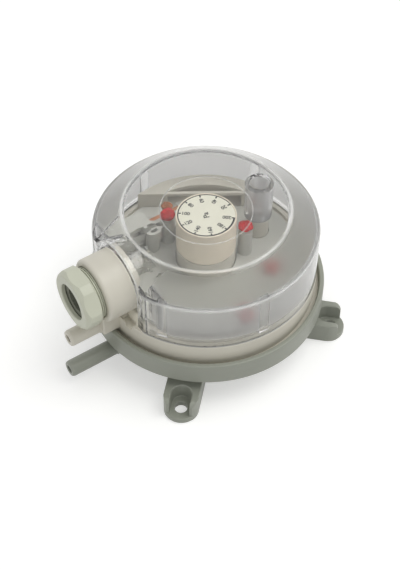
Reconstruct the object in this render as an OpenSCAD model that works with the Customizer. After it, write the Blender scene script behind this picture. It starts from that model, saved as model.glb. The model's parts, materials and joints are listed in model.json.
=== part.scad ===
// Differential pressure switch for air: two moulded housing halves clamp a diaphragm, a setting
// dial loads a spring against it, and a lever passes its stroke on to a changeover contact.
// The origin is the centre of the base's underside. The hose ports and the cable gland point
// along -Y, and +Z runs up through the setting dial.

/* [Lower housing] */
// Radius of the rim band
rim_r = 42.5; // [41:0.5:50]
// Height of the rim band's lower edge above the base
rim_bottom_z = 12.3; // [11.5:0.1:15]
// Height of the rim band
rim_h = 8.9; // [8:0.1:11]
// Wall thickness of the rim band
rim_wall = 1.7; // [1.4:0.1:2.4]
// How far the flat foot lies inside the rim
foot_inset = 12.5; // [11.5:0.5:15]
// Thickness of the base
floor_t = 2.2; // [1.6:0.1:3]
// Chamfer along the rim's edges
rim_edge = 0.6; // [0.2:0.1:0.9]

/* [Mounting lugs] */
// How far each lug's hole lies outside the rim
lug_reach = 3.7; // [3:0.1:8]
// Radius of the lug's hole
lug_hole_r = 2.3; // [1.6:0.05:2.6]
// Half of the lug's width
lug_half_w = 6.2; // [5.6:0.1:8]
// Thickness of the lug's tongue
lug_floor_t = 2.2; // [1.6:0.1:3.5]
// Height of the lug's side walls
lug_wall_h = 8.4; // [6:0.1:10]
// Radius of the pocket round the screw head
pocket_r = 3.6; // [3:0.1:4.2]

/* [Hose ports] */
// Outer radius of each hose port
port_r = 3; // [2.6:0.05:3.2]
// Radius of the port's passage
port_bore_r = 1.5; // [0.8:0.05:1.8]
// Height of the lower port's axis above the base
lower_port_z = 6.8; // [6.2:0.1:7.6]
// How far the lower port stands out past the rim
lower_port_reach = 15.5; // [10:0.5:28]
// How far the upper port stands out past the rim
upper_port_reach = 14.5; // [10:0.5:28]
// How much thicker each port is at its root
port_root = 0.3; // [0.2:0.05:0.6]

/* [Upper housing] */
// Width of the dark seam between the two halves
seam_gap = 1.4; // [1:0.1:1.8]
// Height of the upper half's band above the rim
band_h = 6.5; // [6.2:0.1:9]
// Thickness of the deck that carries the switch parts
deck_t = 2.2; // [1.6:0.1:2.5]
// Wall thickness of the central tower
tower_wall = 1.8; // [1.7:0.05:1.9]

/* [Cable gland] */
// Height of the gland's axis above the deck
gland_rise = 13.3; // [12.8:0.1:13.6]
// Outer radius of the gland boss
boss_r = 11.5; // [11:0.1:11.6]
// How far the boss's mouth stands out past the rim
boss_reach = 3.7; // [3.1:0.1:5.5]
// Radius of the threaded bore in the boss
boss_bore_r = 9.25; // [9.2:0.05:9.5]
// Width of the gland nut across its flats
nut_flats = 20.6; // [20:0.1:21.4]
// Length of the gland nut
nut_len = 6; // [5.4:0.1:8]
// Radius of the nut's cable hole
nut_hole_r = 6.6; // [5.6:0.1:6.8]
// Radius of the cable hole in the rubber seal
cable_r = 4.5; // [3:0.1:5.2]

/* [Clear cover] */
// Height of the cover's upright wall
cover_wall_h = 18.9; // [18.6:0.1:22]
// Height of the cover's sloping shoulder
cover_cone_h = 8.2; // [7.9:0.1:9]
// Width of the cover's sloping shoulder
cover_cone_w = 10.3; // [8.4:0.1:11.4]
// Wall thickness of the cover
cover_t = 2; // [1.5:0.1:2.1]
// Outer radius of the hood over the gland boss
hood_r = 14.2; // [13.6:0.1:14.4]
// How far the cover's flat front is cut back from its round wall
front_cut = 3.4; // [3:0.1:3.8]
// Distance from the axis to the cover screw
screw_y = 22.3; // [22:0.1:23]
// Radius of the cover screw's well
screw_well_r = 3.6; // [3.5:0.05:3.9]

/* [Setting dial] */
// Radius of the dial knob
knob_r = 10.5; // [10.3:0.05:10.7]
// Wall thickness of the dial knob
knob_wall = 1.1; // [0.9:0.05:1.2]
// Height of the dial's face above the deck
knob_top_rise = 22.6; // [22.4:0.1:23]
// Height of the knob's lower edge above the deck
knob_skirt_rise = 8.5; // [8.3:0.1:8.8]
// Thickness of the printed scale plate
scale_t = 0.5; // [0.3:0.05:0.6]
// Number of turns of the setting spring
spring_turns = 6; // [4:1:7]
// Radius of the spring wire
wire_r = 0.32; // [0.2:0.02:0.35]

/* [Diaphragm] */
// Thickness of the diaphragm's web
web_t = 0.5; // [0.3:0.05:0.8]
// Width of the diaphragm's free ring
free_ring_w = 8.2; // [8:0.1:11]
// Radius of the plunger stem
stem_r = 2.5; // [2.2:0.05:2.6]
// Stroke of the plunger
stroke = 0.8; // [0.4:0.1:0.9]

/* [Switch] */
// Distance from the axis to the lever's pivot
pivot_x = 14; // [13.9:0.1:14.2]
// Radius of the lever's pin
pin_r = 1; // [0.8:0.05:1.2]
// Radius of the contact rivets
rivet_r = 1.1; // [0.8:0.05:1.2]
// Width of the terminal strips
strip_w = 2.6; // [2.2:0.1:2.7]
// Thickness of the terminal strips
strip_t = 0.5; // [0.4:0.05:0.6]
// Distance between neighbouring terminals
terminal_pitch = 4.6; // [4.4:0.1:4.7]

/* [Hidden] */
$fn = 96;

grey_plastic = "#8c9085";
ivory_plastic = "#d2cec0";
gland_plastic = "#c9ccbc";
clear_plastic = [0.85, 0.87, 0.88, 0.4];
scale_white = "#f2efdf";
tinned_brass = "#c6c3b6";
copper = "#b4683a";
steel = "#b9bbbd";
silver = "#dcdcd8";
red_lacquer = "#b01c18";
grey_rubber = "#75776a";
silicone = "#c98a72";

// Cutters run this far past the faces that they open
past = 1;
// Running clearance of a shaft in its bore
fit = 0.1;
// Clearance between neighbouring pieces that don't touch
gap = 0.3;
// Clearance of a screw or pin that is held tight
grip = 0.02;
// Number of facets on small round pieces
small_fn = 48;

// Heights, from the base upwards
rim_top_z = rim_bottom_z + rim_h;
ledge_t = 2.3;
ledge_z = rim_bottom_z + ledge_t;
clamp_z = ledge_z + web_t;
flange_top_z = rim_top_z - 2.8;
deck_z = rim_top_z + band_h;
deck_low_z = deck_z - deck_t;
upper_port_z = deck_low_z - port_bore_r - 0.7;
gland_z = deck_z + gland_rise;

// Radii of the two halves
rim_in_r = rim_r - rim_wall;
foot_r = rim_r - foot_inset;
dish_r = rim_r - 4;
chamber_r = rim_in_r - 5.8;
foot_wall = 2.2;
foot_edge = 1.2;
flange_r = rim_in_r - 0.2;
snap_depth = 0.35;
band_r = rim_in_r - seam_gap;
band_waist = 0.5;
upper_wall = 2.6;
upper_in_r = band_r - upper_wall;
bead_in_r = upper_in_r + 0.5;
bead_out_r = bead_in_r + 1.8;
bead_h = 1.9;

// Lugs, at equal angles to each side of +X
lug_angles = [-45, 45];
lug_r = rim_r + lug_reach;
lug_root_x = foot_r;
lug_tip_x = lug_r + 5.3;
lug_wall_end_x = lug_r + 3.3;
lug_corner_r = 2.2;
pocket_x = lug_r - 1.2;

// Hose ports, and the notch in the rim where the upper one passes over it
lower_port_end = rim_r + lower_port_reach;
upper_port_end = rim_r + upper_port_reach;
lower_root_y = dish_r + 1;
port_notch_half_w = port_r + 0.5;
port_tip_len = 0.8;
port_tip_in = 0.35;

// Neck, boss and ring recess
boss_end = rim_r + boss_reach;
front_y = band_r - front_cut;
neck_half_w = 4.4;
neck_front_y = boss_end - 0.8;
neck_back_y = front_y - 1.8;
upper_root_y = neck_front_y + gap;
boss_back_y = front_y - 3;
boss_round = 1.4;
recess_x = neck_half_w + 0.4;
recess_w = 6;
recess_y = band_r - 3.6;
recess_l = 2.8;
recess_depth = 1.8;
lip_out_r = band_r - cover_t - 1.3;
lip_in_r = lip_out_r - 1.2;
lip_h = 1.3;

// Partition wall and platform behind the dial
segment_az = 147;
segment_r = lip_in_r - 0.5;
lane_common_x = 21;
segment_d = lane_common_x + 3.4;
segment_h = 8.3;
partition_t = 1.2;
channel_r = segment_r - 5.4;
channel_depth = 5;
shelf_t = 1.2;
shelf_pocket_half_w = 13.5;
shelf_pocket_d = 7;

// Tower, its lever windows and its keyways
knob_in_r = knob_r - knob_wall;
tower_r = knob_in_r - 0.4;
tower_bore_r = tower_r - tower_wall;
tower_base_r = knob_r;
tower_base_h = knob_skirt_rise - gap;
tower_h = 18.8;
tower_top_z = deck_z + tower_h;
window_half_w = 2.8;
window_low_z = deck_z + 2.4;
window_top_z = deck_z + 7;
key_r = tower_bore_r + 0.6;
key_w = 3;
keyway_low_z = deck_z + 8;
groove_low_z = deck_z + 9.9;
groove_h = 1.4;
groove_depth = 0.5;

// Post for the cover screw
post_r = 4;
post_top_z = deck_z + 10.3;
screw_r = 1.5;
screw_depth = 8;

// Plunger
stem_top_z = deck_z + 4.6;
collar_z = deck_z + 2.2;
collar_h = 1.1;
collar_r = tower_bore_r - 0.4;
collar_top_z = collar_z + collar_h;
seal_r = tower_bore_r - gap;
seal_h = 1.2;
plate_t = 1.4;
plate_rib_h = 1.6;
plate_r = chamber_r - free_ring_w;
convolution_r = (plate_r + chamber_r) / 2;
convolution_rise = (chamber_r - plate_r) / 2 - 0.8;

// Dial knob, spindle and spring seat
face_z = deck_z + knob_top_rise;
knob_low_z = deck_z + knob_skirt_rise;
knob_rim_h = 0.2;
knob_rim_w = 0.45;
knob_plate_t = 1.6;
knob_plate_z = face_z - knob_rim_h - scale_t - knob_plate_t;
spindle_r = 2.4;
spindle_low_z = deck_z + 7.8;
seat_rise = 12.9;
seat_z = deck_z + seat_rise;
seat_t = 2.4;
seat_r = tower_bore_r - gap;
spring_r = tower_bore_r - 2.3;

// Gland
body_thread_r = 9;
body_ridge_r = boss_bore_r - 0.05;
body_reach = 6.3;
body_front_y = boss_end + body_reach;
body_back_y = boss_back_y + 1.6;
seal_wall = 2;
body_bore_r = cable_r + seal_wall;
seal_pocket_r = 7.75;
gland_seal_r = seal_pocket_r - 0.05;
seal_pocket_y = boss_end - 1;
nut_gap = 2.1;
nut_back_y = boss_end + nut_gap;
nut_front_y = nut_back_y + nut_len;
nut_corner_r = nut_flats / 2 + 0.75;
nut_thread_r = body_thread_r + gap;
ridge_pitch = 0.7;

// Cover
cover_r = band_r;
cover_top_r = cover_r - cover_cone_w;
shoulder_z = deck_z + cover_wall_h;
cover_top_z = shoulder_z + cover_cone_h;
cover_slope = (cover_r - cover_top_r) / cover_cone_h;
hood_bore_r = boss_r + 0.5;
hood_l = 19;
hood_back_y = front_y - hood_l;
well_r = screw_well_r + 1.4;
well_seat_z = post_top_z + gap + 1.8;
head_r = screw_well_r - gap;
head_h = 2.3;
inner_rib_w = 3.6;
inner_rib_t = 0.8;
inner_rib_az = [-57, -4, 117, 183];
ring_mark_r = 15.9;
ring_mark_w = 0.35;
ring_mark_depth = 0.1;

// Switch carrier, with its terminal block, lever cheeks and posts
carrier_t = 2;
carrier_z = deck_z + carrier_t;
carrier_r = lip_in_r - 1.6;
carrier_bore_r = tower_base_r + gap;
block_left_x = 22.9;
block_right_x = 15.6;
block_l = 18.5;
block_front_y = carrier_r - 2.5;
block_back_y = block_front_y - block_l;
block_top_z = deck_z + 12.3;
block_clip_r = carrier_r + 1.4;
step_right_x = 6.8;
step_l = 14.2;
step_back_y = block_front_y - step_l;
step_top_z = deck_z + 5.3;
guide_x = 14;
guide_y = block_back_y + 1.2;
guide_r = 2.8;
guide_bore_r = 1.5;
guide_top_z = deck_z + 12.6;
cheek_t = 1.6;
cheek_half_w = 2.2;
cheek_top_z = deck_z + 6.7;
calibration_d = knob_r + 3.4;
calibration_az = 64.9;
calibration_xy = [
    [calibration_d * cos(calibration_az), calibration_d * sin(calibration_az)],
    [-pivot_x, -6.9]
];
calibration_post_r = 2.5;
calibration_post_h = 12.7;
calibration_post_top_z = deck_z + calibration_post_h;
calibration_head_r = 2.3;
calibration_head_h = 2.2;
calibration_shank_r = 1.2;
calibration_shank_l = 7;
carrier_screw_xy = [
    [carrier_r - 4.3, -4],
    [carrier_r - 16.3, carrier_r - 17.8],
    [5, 9.3 - carrier_r]
];
carrier_head_r = 2.4;
carrier_head_h = 1.6;
carrier_shank_r = 1.2;
carrier_shank_l = 6;
slot_w = 0.7;
slot_depth = 0.8;

// Lever and contacts
lever_t = 1.4;
lever_w = 3.6;
cheek_y = lever_w / 2 + gap;
lever_z = deck_z + 3.9;
pivot_z = lever_z + lever_t / 2;
hub_r = 2.1;
lever_tip_x = tower_bore_r - 1;
lever_nib_w = 1.2;
lane_fixed_x = 18.1;
lever_end_x = lane_common_x + 1.4;
common_z = step_top_z;
blade_t = 0.3;
blade_z = common_z + strip_t + gap;
blade_root_y = block_back_y - 3.3;
blade_w = 2.8;
contact_y = lever_w / 2 + 0.4 + rivet_r;
blade_tip_y = contact_y + rivet_r;
rivet_h = 0.5;
open_z = carrier_z;
closed_z = blade_z + blade_t + 2 * rivet_h + gap;
// The lever turns the plunger's stroke into the blade's, and the blade's tip moves further still
lever_in = pivot_x - lever_tip_x - lever_nib_w / 2;
lever_out = lane_common_x - pivot_x;
contact_travel = stroke * lever_out / lever_in * (blade_root_y + contact_y) / blade_root_y;
open_stud_h = blade_z - rivet_h - contact_travel - gap - open_z - strip_t;
pad_left_x = block_right_x - 0.6;
pad_right_x = 8;
pad_w = 3.8;
first_terminal_y = block_front_y - 12;
terminal_screw_x = 11.4;
terminal_head_r = 1.7;
terminal_head_h = 1.1;
terminal_shank_r = 0.9;
clamp_t = 0.6;
clamp_w = 3.4;

// A round tube along Z
module tube(r_out, r_in, z0, z1) {
    difference() {
        translate([0, 0, z0])
            cylinder(r = r_out, h = z1 - z0);
        translate([0, 0, z0 - past])
            cylinder(r = r_in, h = z1 - z0 + 2 * past);
    }
}

// A cylinder that runs from y0 to y1, both measured from the axis towards the ports
module port_rod(r, y0, y1, z) {
    translate([0, -y1, z])
        rotate([-90, 0, 0])
            cylinder(r = r, h = y1 - y0);
}

// A block between two corners
module block(low, high) {
    translate(low)
        cube(high - low);
}

module lug_outline() {
    translate([lug_tip_x - lug_half_w, 0])
        circle(r = lug_half_w);
    translate([lug_root_x, -lug_half_w])
        square([lug_tip_x - lug_half_w - lug_root_x, 2 * lug_half_w]);
}

module lug_side_outline() {
    translate([lug_root_x, 0])
        square([lug_wall_end_x - lug_corner_r - lug_root_x, lug_wall_h]);
    translate([lug_root_x, 0])
        square([lug_wall_end_x - lug_root_x, lug_wall_h - lug_corner_r]);
    translate([lug_wall_end_x - lug_corner_r, lug_wall_h - lug_corner_r])
        circle(r = lug_corner_r);
}

module lug() {
    linear_extrude(lug_floor_t)
        lug_outline();
    intersection() {
        linear_extrude(lug_wall_h)
            lug_outline();
        rotate([90, 0, 0])
            translate([0, 0, -lug_half_w])
                linear_extrude(2 * lug_half_w)
                    lug_side_outline();
    }
}

module lug_cut() {
    translate([lug_r, 0, -past])
        cylinder(r = lug_hole_r, h = lug_floor_t + 2 * past);
    translate([pocket_x, 0, lug_floor_t]) {
        cylinder(r = pocket_r, h = lug_wall_h);
        translate([0, -pocket_r, 0])
            cube([lug_tip_x, 2 * pocket_r, lug_wall_h]);
    }
}

// A hose port with a thicker root and a slightly drawn-in tip
module hose_port(y0, root_y, y1, z) {
    port_rod(port_r + port_root, y0, root_y, z);
    port_rod(port_r, root_y - past, y1 - port_tip_len, z);
    translate([0, port_tip_len - y1, z])
        rotate([90, 0, 0])
            cylinder(r1 = port_r, r2 = port_r - port_tip_in, h = port_tip_len);
}

module lower_housing() {
    outside = [
        [0, 0],
        [foot_r, 0],
        [foot_r + foot_edge, foot_edge],
        [dish_r, rim_bottom_z],
        [rim_r - rim_edge, rim_bottom_z],
        [rim_r, rim_bottom_z + rim_edge],
        [rim_r, rim_top_z - rim_edge],
        [rim_r - rim_edge, rim_top_z],
        [0, rim_top_z]
    ];
    inside = [
        [0, floor_t],
        [foot_r - foot_wall, floor_t],
        [chamber_r, ledge_z],
        [rim_in_r, ledge_z],
        [rim_in_r, flange_top_z + 0.2],
        [rim_in_r - snap_depth, flange_top_z + 0.5],
        [rim_in_r, flange_top_z + 0.9],
        [rim_in_r, rim_top_z + past],
        [0, rim_top_z + past]
    ];
    color(grey_plastic)
        difference() {
            union() {
                rotate_extrude()
                    polygon(outside);
                for (a = lug_angles)
                    rotate([0, 0, a])
                        lug();
                hose_port(foot_r, lower_root_y, lower_port_end, lower_port_z);
            }
            rotate_extrude()
                polygon(inside);
            for (a = lug_angles)
                rotate([0, 0, a])
                    lug_cut();
            port_rod(port_bore_r, foot_r - foot_wall - past, lower_port_end + past, lower_port_z);
            block([-port_notch_half_w, -rim_r - past, upper_port_z - port_r - gap],
                  [port_notch_half_w, -rim_in_r + past, rim_top_z + past]);
        }
}

module gland_boss() {
    profile = [
        [0, boss_back_y],
        [boss_r, boss_back_y],
        [boss_r, boss_end - boss_round],
        [boss_r - 0.3 * boss_round, boss_end - 0.3 * boss_round],
        [boss_r - boss_round, boss_end],
        [0, boss_end]
    ];
    translate([0, 0, gland_z])
        rotate([90, 0, 0])
            rotate_extrude()
                polygon(profile);
}

module segment(d, r, z0, z1) {
    intersection() {
        translate([0, 0, z0])
            cylinder(r = r, h = z1 - z0);
        rotate([0, 0, segment_az])
            block([d, -r, z0 - past], [r + past, r, z1 + past]);
    }
}

// The partition stands between a crescent channel behind it and a pocket under the shelf
module platform() {
    difference() {
        segment(segment_d, segment_r, deck_z - deck_t / 2, deck_z + segment_h);
        segment(segment_d + partition_t, channel_r, deck_z + segment_h - channel_depth,
                deck_z + segment_h + past);
        rotate([0, 0, segment_az])
            block([segment_d - past, -shelf_pocket_half_w, deck_z],
                  [segment_d + shelf_pocket_d, shelf_pocket_half_w, deck_z + segment_h - shelf_t]);
    }
}

module tower() {
    difference() {
        union() {
            tube(tower_r, tower_bore_r, deck_z - deck_t / 2, tower_top_z);
            tube(tower_base_r, tower_bore_r, deck_z - deck_t / 2, deck_z + tower_base_h);
        }
        block([-tower_base_r - past, -window_half_w, window_low_z], [0, window_half_w, window_top_z]);
        block([-key_r, -key_w / 2 - fit, keyway_low_z], [key_r, key_w / 2 + fit, tower_top_z + past]);
        tube(tower_r + past, tower_r - groove_depth, groove_low_z, groove_low_z + groove_h);
    }
}

module upper_housing() {
    outside = [
        [0, clamp_z],
        [flange_r, clamp_z],
        [flange_r, flange_top_z],
        [band_r - band_waist, flange_top_z],
        [band_r - 0.15, (rim_top_z + flange_top_z) / 2 + 1.5],
        [band_r, deck_z - 0.5 * band_h],
        [band_r, deck_z],
        [0, deck_z]
    ];
    color(ivory_plastic)
        difference() {
            union() {
                difference() {
                    union() {
                        rotate_extrude()
                            polygon(outside);
                        hose_port(upper_in_r, upper_root_y, upper_port_end, upper_port_z);
                        block([-neck_half_w, -neck_front_y, rim_top_z + gap],
                              [neck_half_w, -neck_back_y, gland_z]);
                        gland_boss();
                    }
                    translate([0, 0, clamp_z - past])
                        cylinder(r = upper_in_r, h = deck_low_z - clamp_z + past);
                }
                tower();
                platform();
                difference() {
                    tube(lip_out_r, lip_in_r, deck_z - deck_t / 2, deck_z + lip_h);
                    block([-hood_r - past, -band_r, deck_z], [hood_r + past, -past, cover_top_z]);
                }
                translate([0, screw_y, deck_z - deck_t / 2])
                    cylinder(r = post_r, h = post_top_z - deck_z + deck_t / 2);
                for (p = carrier_screw_xy)
                    translate([p[0], p[1], deck_low_z - 3])
                        cylinder(r = 2.6, h = 4);
            }
            tube(bead_out_r + fit, bead_in_r - fit, clamp_z - past, ledge_z + bead_h + fit);
            port_rod(port_bore_r, upper_in_r - past, upper_port_end + past, upper_port_z);
            port_rod(boss_bore_r, boss_back_y - past, boss_end + past, gland_z);
            block([recess_x, -recess_y - recess_l, deck_z - recess_depth],
                  [recess_x + recess_w, -recess_y, deck_z + past]);
            translate([0, 0, deck_low_z - past])
                cylinder(r = stem_r + 0.7, h = deck_t + 2 * past);
            translate([0, screw_y, post_top_z - screw_depth])
                cylinder(r = screw_r + fit, h = screw_depth + past);
            for (p = carrier_screw_xy)
                translate([p[0], p[1], carrier_z - carrier_shank_l])
                    cylinder(r = carrier_shank_r + grip, h = carrier_shank_l);
        }
}

// Clamped bead, thin web and one raised convolution, in half section
module diaphragm_section() {
    translate([bead_in_r, ledge_z])
        square([bead_out_r - bead_in_r, bead_h]);
    translate([convolution_r + convolution_rise, ledge_z])
        square([bead_in_r - convolution_r - convolution_rise + past / 2, web_t]);
    translate([0, ledge_z])
        square([convolution_r - convolution_rise, web_t]);
    translate([convolution_r, ledge_z])
        intersection() {
            difference() {
                circle(r = convolution_rise + web_t);
                circle(r = convolution_rise);
            }
            translate([-plate_r, 0])
                square([2 * plate_r, plate_r]);
        }
}

module diaphragm() {
    color(silicone)
        rotate_extrude()
            diaphragm_section();
}

module diaphragm_plate() {
    color(gland_plastic) {
        translate([0, 0, clamp_z])
            cylinder(r = plate_r - convolution_rise, h = plate_t);
        tube(plate_r - convolution_rise, plate_r - convolution_rise - 1.4, clamp_z,
             clamp_z + plate_t + plate_rib_h);
        translate([0, 0, clamp_z])
            cylinder(r = stem_r, h = stem_top_z - clamp_z);
        for (a = [0:60:300])
            rotate([0, 0, a])
                block([stem_r - 0.5, -0.6, clamp_z],
                      [plate_r - convolution_rise - 1, 0.6, clamp_z + plate_t + plate_rib_h]);
    }
}

module plunger_collar() {
    color(ivory_plastic)
        tube(collar_r, stem_r + grip, collar_z, collar_top_z);
}

module plunger_seal() {
    section = [
        [stem_r + fit, deck_z],
        [seal_r, deck_z],
        [seal_r, deck_z + seal_h],
        [seal_r - 1.3, deck_z + seal_h],
        [seal_r - 1.3, deck_z + 0.6],
        [stem_r + 1, deck_z + 0.6],
        [stem_r + 1, deck_z + seal_h],
        [stem_r + fit, deck_z + seal_h]
    ];
    color(silicone)
        rotate_extrude()
            polygon(section);
}

// Height along the spring: the end turns lie close, the others share the rest
function coil_z(t) =
    let (
        low = collar_top_z + wire_r,
        high = seat_z - wire_r,
        end_rise = 2.1 * wire_r,
        turn = t * spring_turns
    )
    turn < 1 ? low + turn * end_rise
    : turn > spring_turns - 1 ? high - (spring_turns - turn) * end_rise
    : low + end_rise + (turn - 1) * (high - low - 2 * end_rise) / (spring_turns - 2);

module setting_spring() {
    sides = 8;
    steps = 18 * spring_turns;
    points = [
        for (i = [0:steps], j = [0:sides - 1])
            let (
                a = 360 * spring_turns * i / steps,
                b = 360 * j / sides,
                r = spring_r + wire_r * cos(b)
            )
            [r * cos(a), r * sin(a), coil_z(i / steps) + wire_r * sin(b)]
    ];
    walls = [
        for (i = [0:steps - 1], j = [0:sides - 1])
            let (k = (j + 1) % sides)
            [i * sides + j, i * sides + k, (i + 1) * sides + k, (i + 1) * sides + j]
    ];
    first_end = [for (j = [0:sides - 1]) sides - 1 - j];
    last_end = [for (j = [0:sides - 1]) steps * sides + j];
    color(steel)
        polyhedron(points, concat([first_end], walls, [last_end]));
}

module spring_seat() {
    color(gland_plastic)
        difference() {
            union() {
                translate([0, 0, seat_z])
                    cylinder(r = seat_r, h = seat_t);
                intersection() {
                    block([-key_r, -key_w / 2, seat_z], [key_r, key_w / 2, seat_z + seat_t]);
                    translate([0, 0, seat_z])
                        cylinder(r = key_r - fit, h = seat_t);
                }
            }
            translate([0, 0, seat_z - past])
                cylinder(r = spindle_r + fit, h = seat_t + 2 * past);
        }
}

module dial_knob() {
    skirt = [
        [knob_in_r, knob_low_z],
        [knob_r - 0.3, knob_low_z],
        [knob_r, knob_low_z + 0.3],
        [knob_r, face_z - 0.3],
        [knob_r - 0.2, face_z],
        [knob_r - knob_rim_w, face_z],
        [knob_r - knob_rim_w, knob_plate_z + knob_plate_t],
        [0, knob_plate_z + knob_plate_t],
        [0, knob_plate_z],
        [knob_in_r, knob_plate_z],
        [knob_in_r, groove_low_z + groove_h - gap],
        [knob_in_r - 0.55, groove_low_z + groove_h - gap],
        [knob_in_r - 0.55, groove_low_z + gap],
        [knob_in_r, groove_low_z + gap]
    ];
    color(ivory_plastic) {
        rotate_extrude()
            polygon(skirt);
        translate([0, 0, spindle_low_z])
            cylinder(r = spindle_r, h = knob_plate_z - spindle_low_z + knob_plate_t / 2);
    }
}

module dial_scale() {
    color(scale_white)
        translate([0, 0, knob_plate_z + knob_plate_t])
            cylinder(r = knob_r - knob_rim_w - 0.05, h = scale_t);
}

module cover_outside() {
    profile = [
        [0, deck_z],
        [cover_r, deck_z],
        [cover_r, shoulder_z],
        [cover_top_r, cover_top_z],
        [0, cover_top_z]
    ];
    intersection() {
        union() {
            rotate_extrude()
                polygon(profile);
            port_rod(hood_r, hood_back_y, front_y, gland_z);
            block([-hood_r, -front_y, deck_z], [hood_r, -hood_back_y, gland_z]);
        }
        block([-cover_r - past, -front_y, deck_z],
              [cover_r + past, cover_r + past, cover_top_z + past]);
    }
}

module cover_hollow() {
    profile = [
        [0, deck_z - past],
        [cover_r - cover_t, deck_z - past],
        [cover_r - cover_t, shoulder_z - cover_slope / 2],
        [cover_top_r - cover_t / 2, cover_top_z - cover_t],
        [0, cover_top_z - cover_t]
    ];
    intersection() {
        rotate_extrude()
            polygon(profile);
        block([-cover_r, cover_t - front_y, deck_z - 2 * past],
              [cover_r, cover_r, cover_top_z]);
    }
    port_rod(hood_bore_r, hood_back_y - past, front_y + past, gland_z);
    block([-hood_bore_r, -front_y - past, deck_z - past],
          [hood_bore_r, past - hood_back_y, gland_z]);
}

module cover_inner_ribs() {
    for (a = inner_rib_az)
        rotate([0, 0, a])
            block([cover_r - cover_t - inner_rib_t, -inner_rib_w / 2, deck_z + lip_h + gap],
                  [cover_r - cover_t / 2, inner_rib_w / 2, shoulder_z - 0.6]);
}

module cover() {
    color(clear_plastic)
        difference() {
            union() {
                difference() {
                    cover_outside();
                    cover_hollow();
                }
                cover_inner_ribs();
                translate([0, screw_y, well_seat_z - 1.8])
                    cylinder(r = well_r, h = cover_top_z - well_seat_z + 1.8);
            }
            translate([0, screw_y, well_seat_z])
                cylinder(r = screw_well_r, h = cover_top_z - well_seat_z + past);
            translate([0, screw_y, well_seat_z - 1.8 - past])
                cylinder(r = screw_r + fit, h = 1.8 + 2 * past);
            tube(ring_mark_r + ring_mark_w, ring_mark_r, cover_top_z - cover_t - past,
                 cover_top_z - cover_t + ring_mark_depth);
        }
}

// A screw that stands on its head's seat at the origin, with a straight slot
module slotted_screw(head_radius, head_height, shank_radius, shank_length) {
    difference() {
        union() {
            cylinder(r = head_radius, h = head_height, $fn = small_fn);
            translate([0, 0, -shank_length])
                cylinder(r = shank_radius, h = shank_length + past / 2, $fn = small_fn);
        }
        translate([-head_radius - past, -slot_w / 2, head_height - slot_depth])
            cube([2 * head_radius + 2 * past, slot_w, slot_depth + past]);
    }
}

module cover_screw() {
    color(steel)
        translate([0, screw_y, well_seat_z])
            rotate([0, 0, 35])
                slotted_screw(head_r, head_h, screw_r, well_seat_z - post_top_z + screw_depth - 1);
}

// The sleeve's half section, with the radius along X and the distance from the axis along Y
module gland_body_section() {
    difference() {
        union() {
            translate([0, body_back_y])
                square([boss_bore_r - fit, boss_end - 0.6 - body_back_y]);
            translate([0, body_back_y])
                square([body_thread_r - 0.3, body_front_y - body_back_y]);
            for (y = [boss_end + 0.1:ridge_pitch:nut_back_y - ridge_pitch / 2])
                translate([0, y])
                    square([body_ridge_r, ridge_pitch / 2]);
            translate([0, nut_back_y + 0.2])
                square([body_thread_r, body_front_y - nut_back_y - 0.2]);
        }
        translate([-past, body_back_y - past])
            square([body_bore_r + past, body_front_y]);
        translate([-past, seal_pocket_y])
            square([seal_pocket_r + past, body_front_y]);
    }
}

module gland_body() {
    color(gland_plastic)
        translate([0, 0, gland_z])
            rotate([90, 0, 0])
                rotate_extrude()
                    gland_body_section();
}

module gland_seal() {
    color(grey_rubber)
        difference() {
            port_rod(gland_seal_r, seal_pocket_y, body_front_y, gland_z);
            port_rod(cable_r, seal_pocket_y - past, body_front_y + past, gland_z);
        }
}

module gland_nut() {
    bevel = 1.5;
    shape = [
        [0, nut_back_y],
        [nut_corner_r - 0.5, nut_back_y],
        [nut_corner_r, nut_back_y + 0.5],
        [nut_corner_r, nut_front_y - bevel],
        [nut_flats / 2 - 0.6, nut_front_y],
        [0, nut_front_y]
    ];
    color(gland_plastic)
        difference() {
            intersection() {
                translate([0, -nut_front_y, gland_z])
                    rotate([-90, 0, 0])
                        cylinder(r = nut_flats / (2 * cos(30)), h = nut_len, $fn = 6);
                translate([0, 0, gland_z])
                    rotate([90, 0, 0])
                        rotate_extrude()
                            polygon(shape);
            }
            port_rod(nut_hole_r, nut_back_y - past, nut_front_y + past, gland_z);
            port_rod(nut_thread_r, nut_back_y - past, body_front_y + gap, gland_z);
        }
}

// The three terminals in order: common, normally open, normally closed
function terminal_y(i) = first_terminal_y + i * terminal_pitch;

// A terminal's strip. grow widens it into the slot that holds it.
module terminal_strip(i, grow) {
    lane_x = i == 0 ? lane_common_x : lane_fixed_x;
    lane_z = [common_z, open_z, closed_z][i];
    run_end_y = i == 0 ? blade_root_y - 0.6 : -contact_y - strip_w / 2;
    y = terminal_y(i);
    half = strip_w / 2 + grow;
    low_z = min(common_z, lane_z) - grow;
    high_z = max(common_z, lane_z) + strip_t + grow;
    // From the pad across to the lane
    block([-lane_x - half, -y - half, common_z - grow],
          [-pad_left_x, half - y, common_z + strip_t + grow]);
    // Up or down to the lane's height
    block([-lane_x - half, -y - half, low_z], [half - lane_x, half - y, high_z]);
    // Along the lane to the contact
    block([-lane_x - half, -y - half, lane_z - grow],
          [half - lane_x, grow - run_end_y, lane_z + strip_t + grow]);
}

module terminal_pad(i) {
    block([-pad_left_x - past / 2, -terminal_y(i) - pad_w / 2, common_z],
          [-pad_right_x, pad_w / 2 - terminal_y(i), common_z + strip_t]);
}

module terminal_hole(i) {
    translate([-terminal_screw_x, -terminal_y(i), carrier_z])
        cylinder(r = terminal_shank_r + 0.05, h = block_top_z - carrier_z, $fn = small_fn);
}

module common_terminal() {
    color(tinned_brass)
        difference() {
            union() {
                terminal_strip(0, 0);
                terminal_pad(0);
            }
            terminal_hole(0);
        }
}

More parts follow.
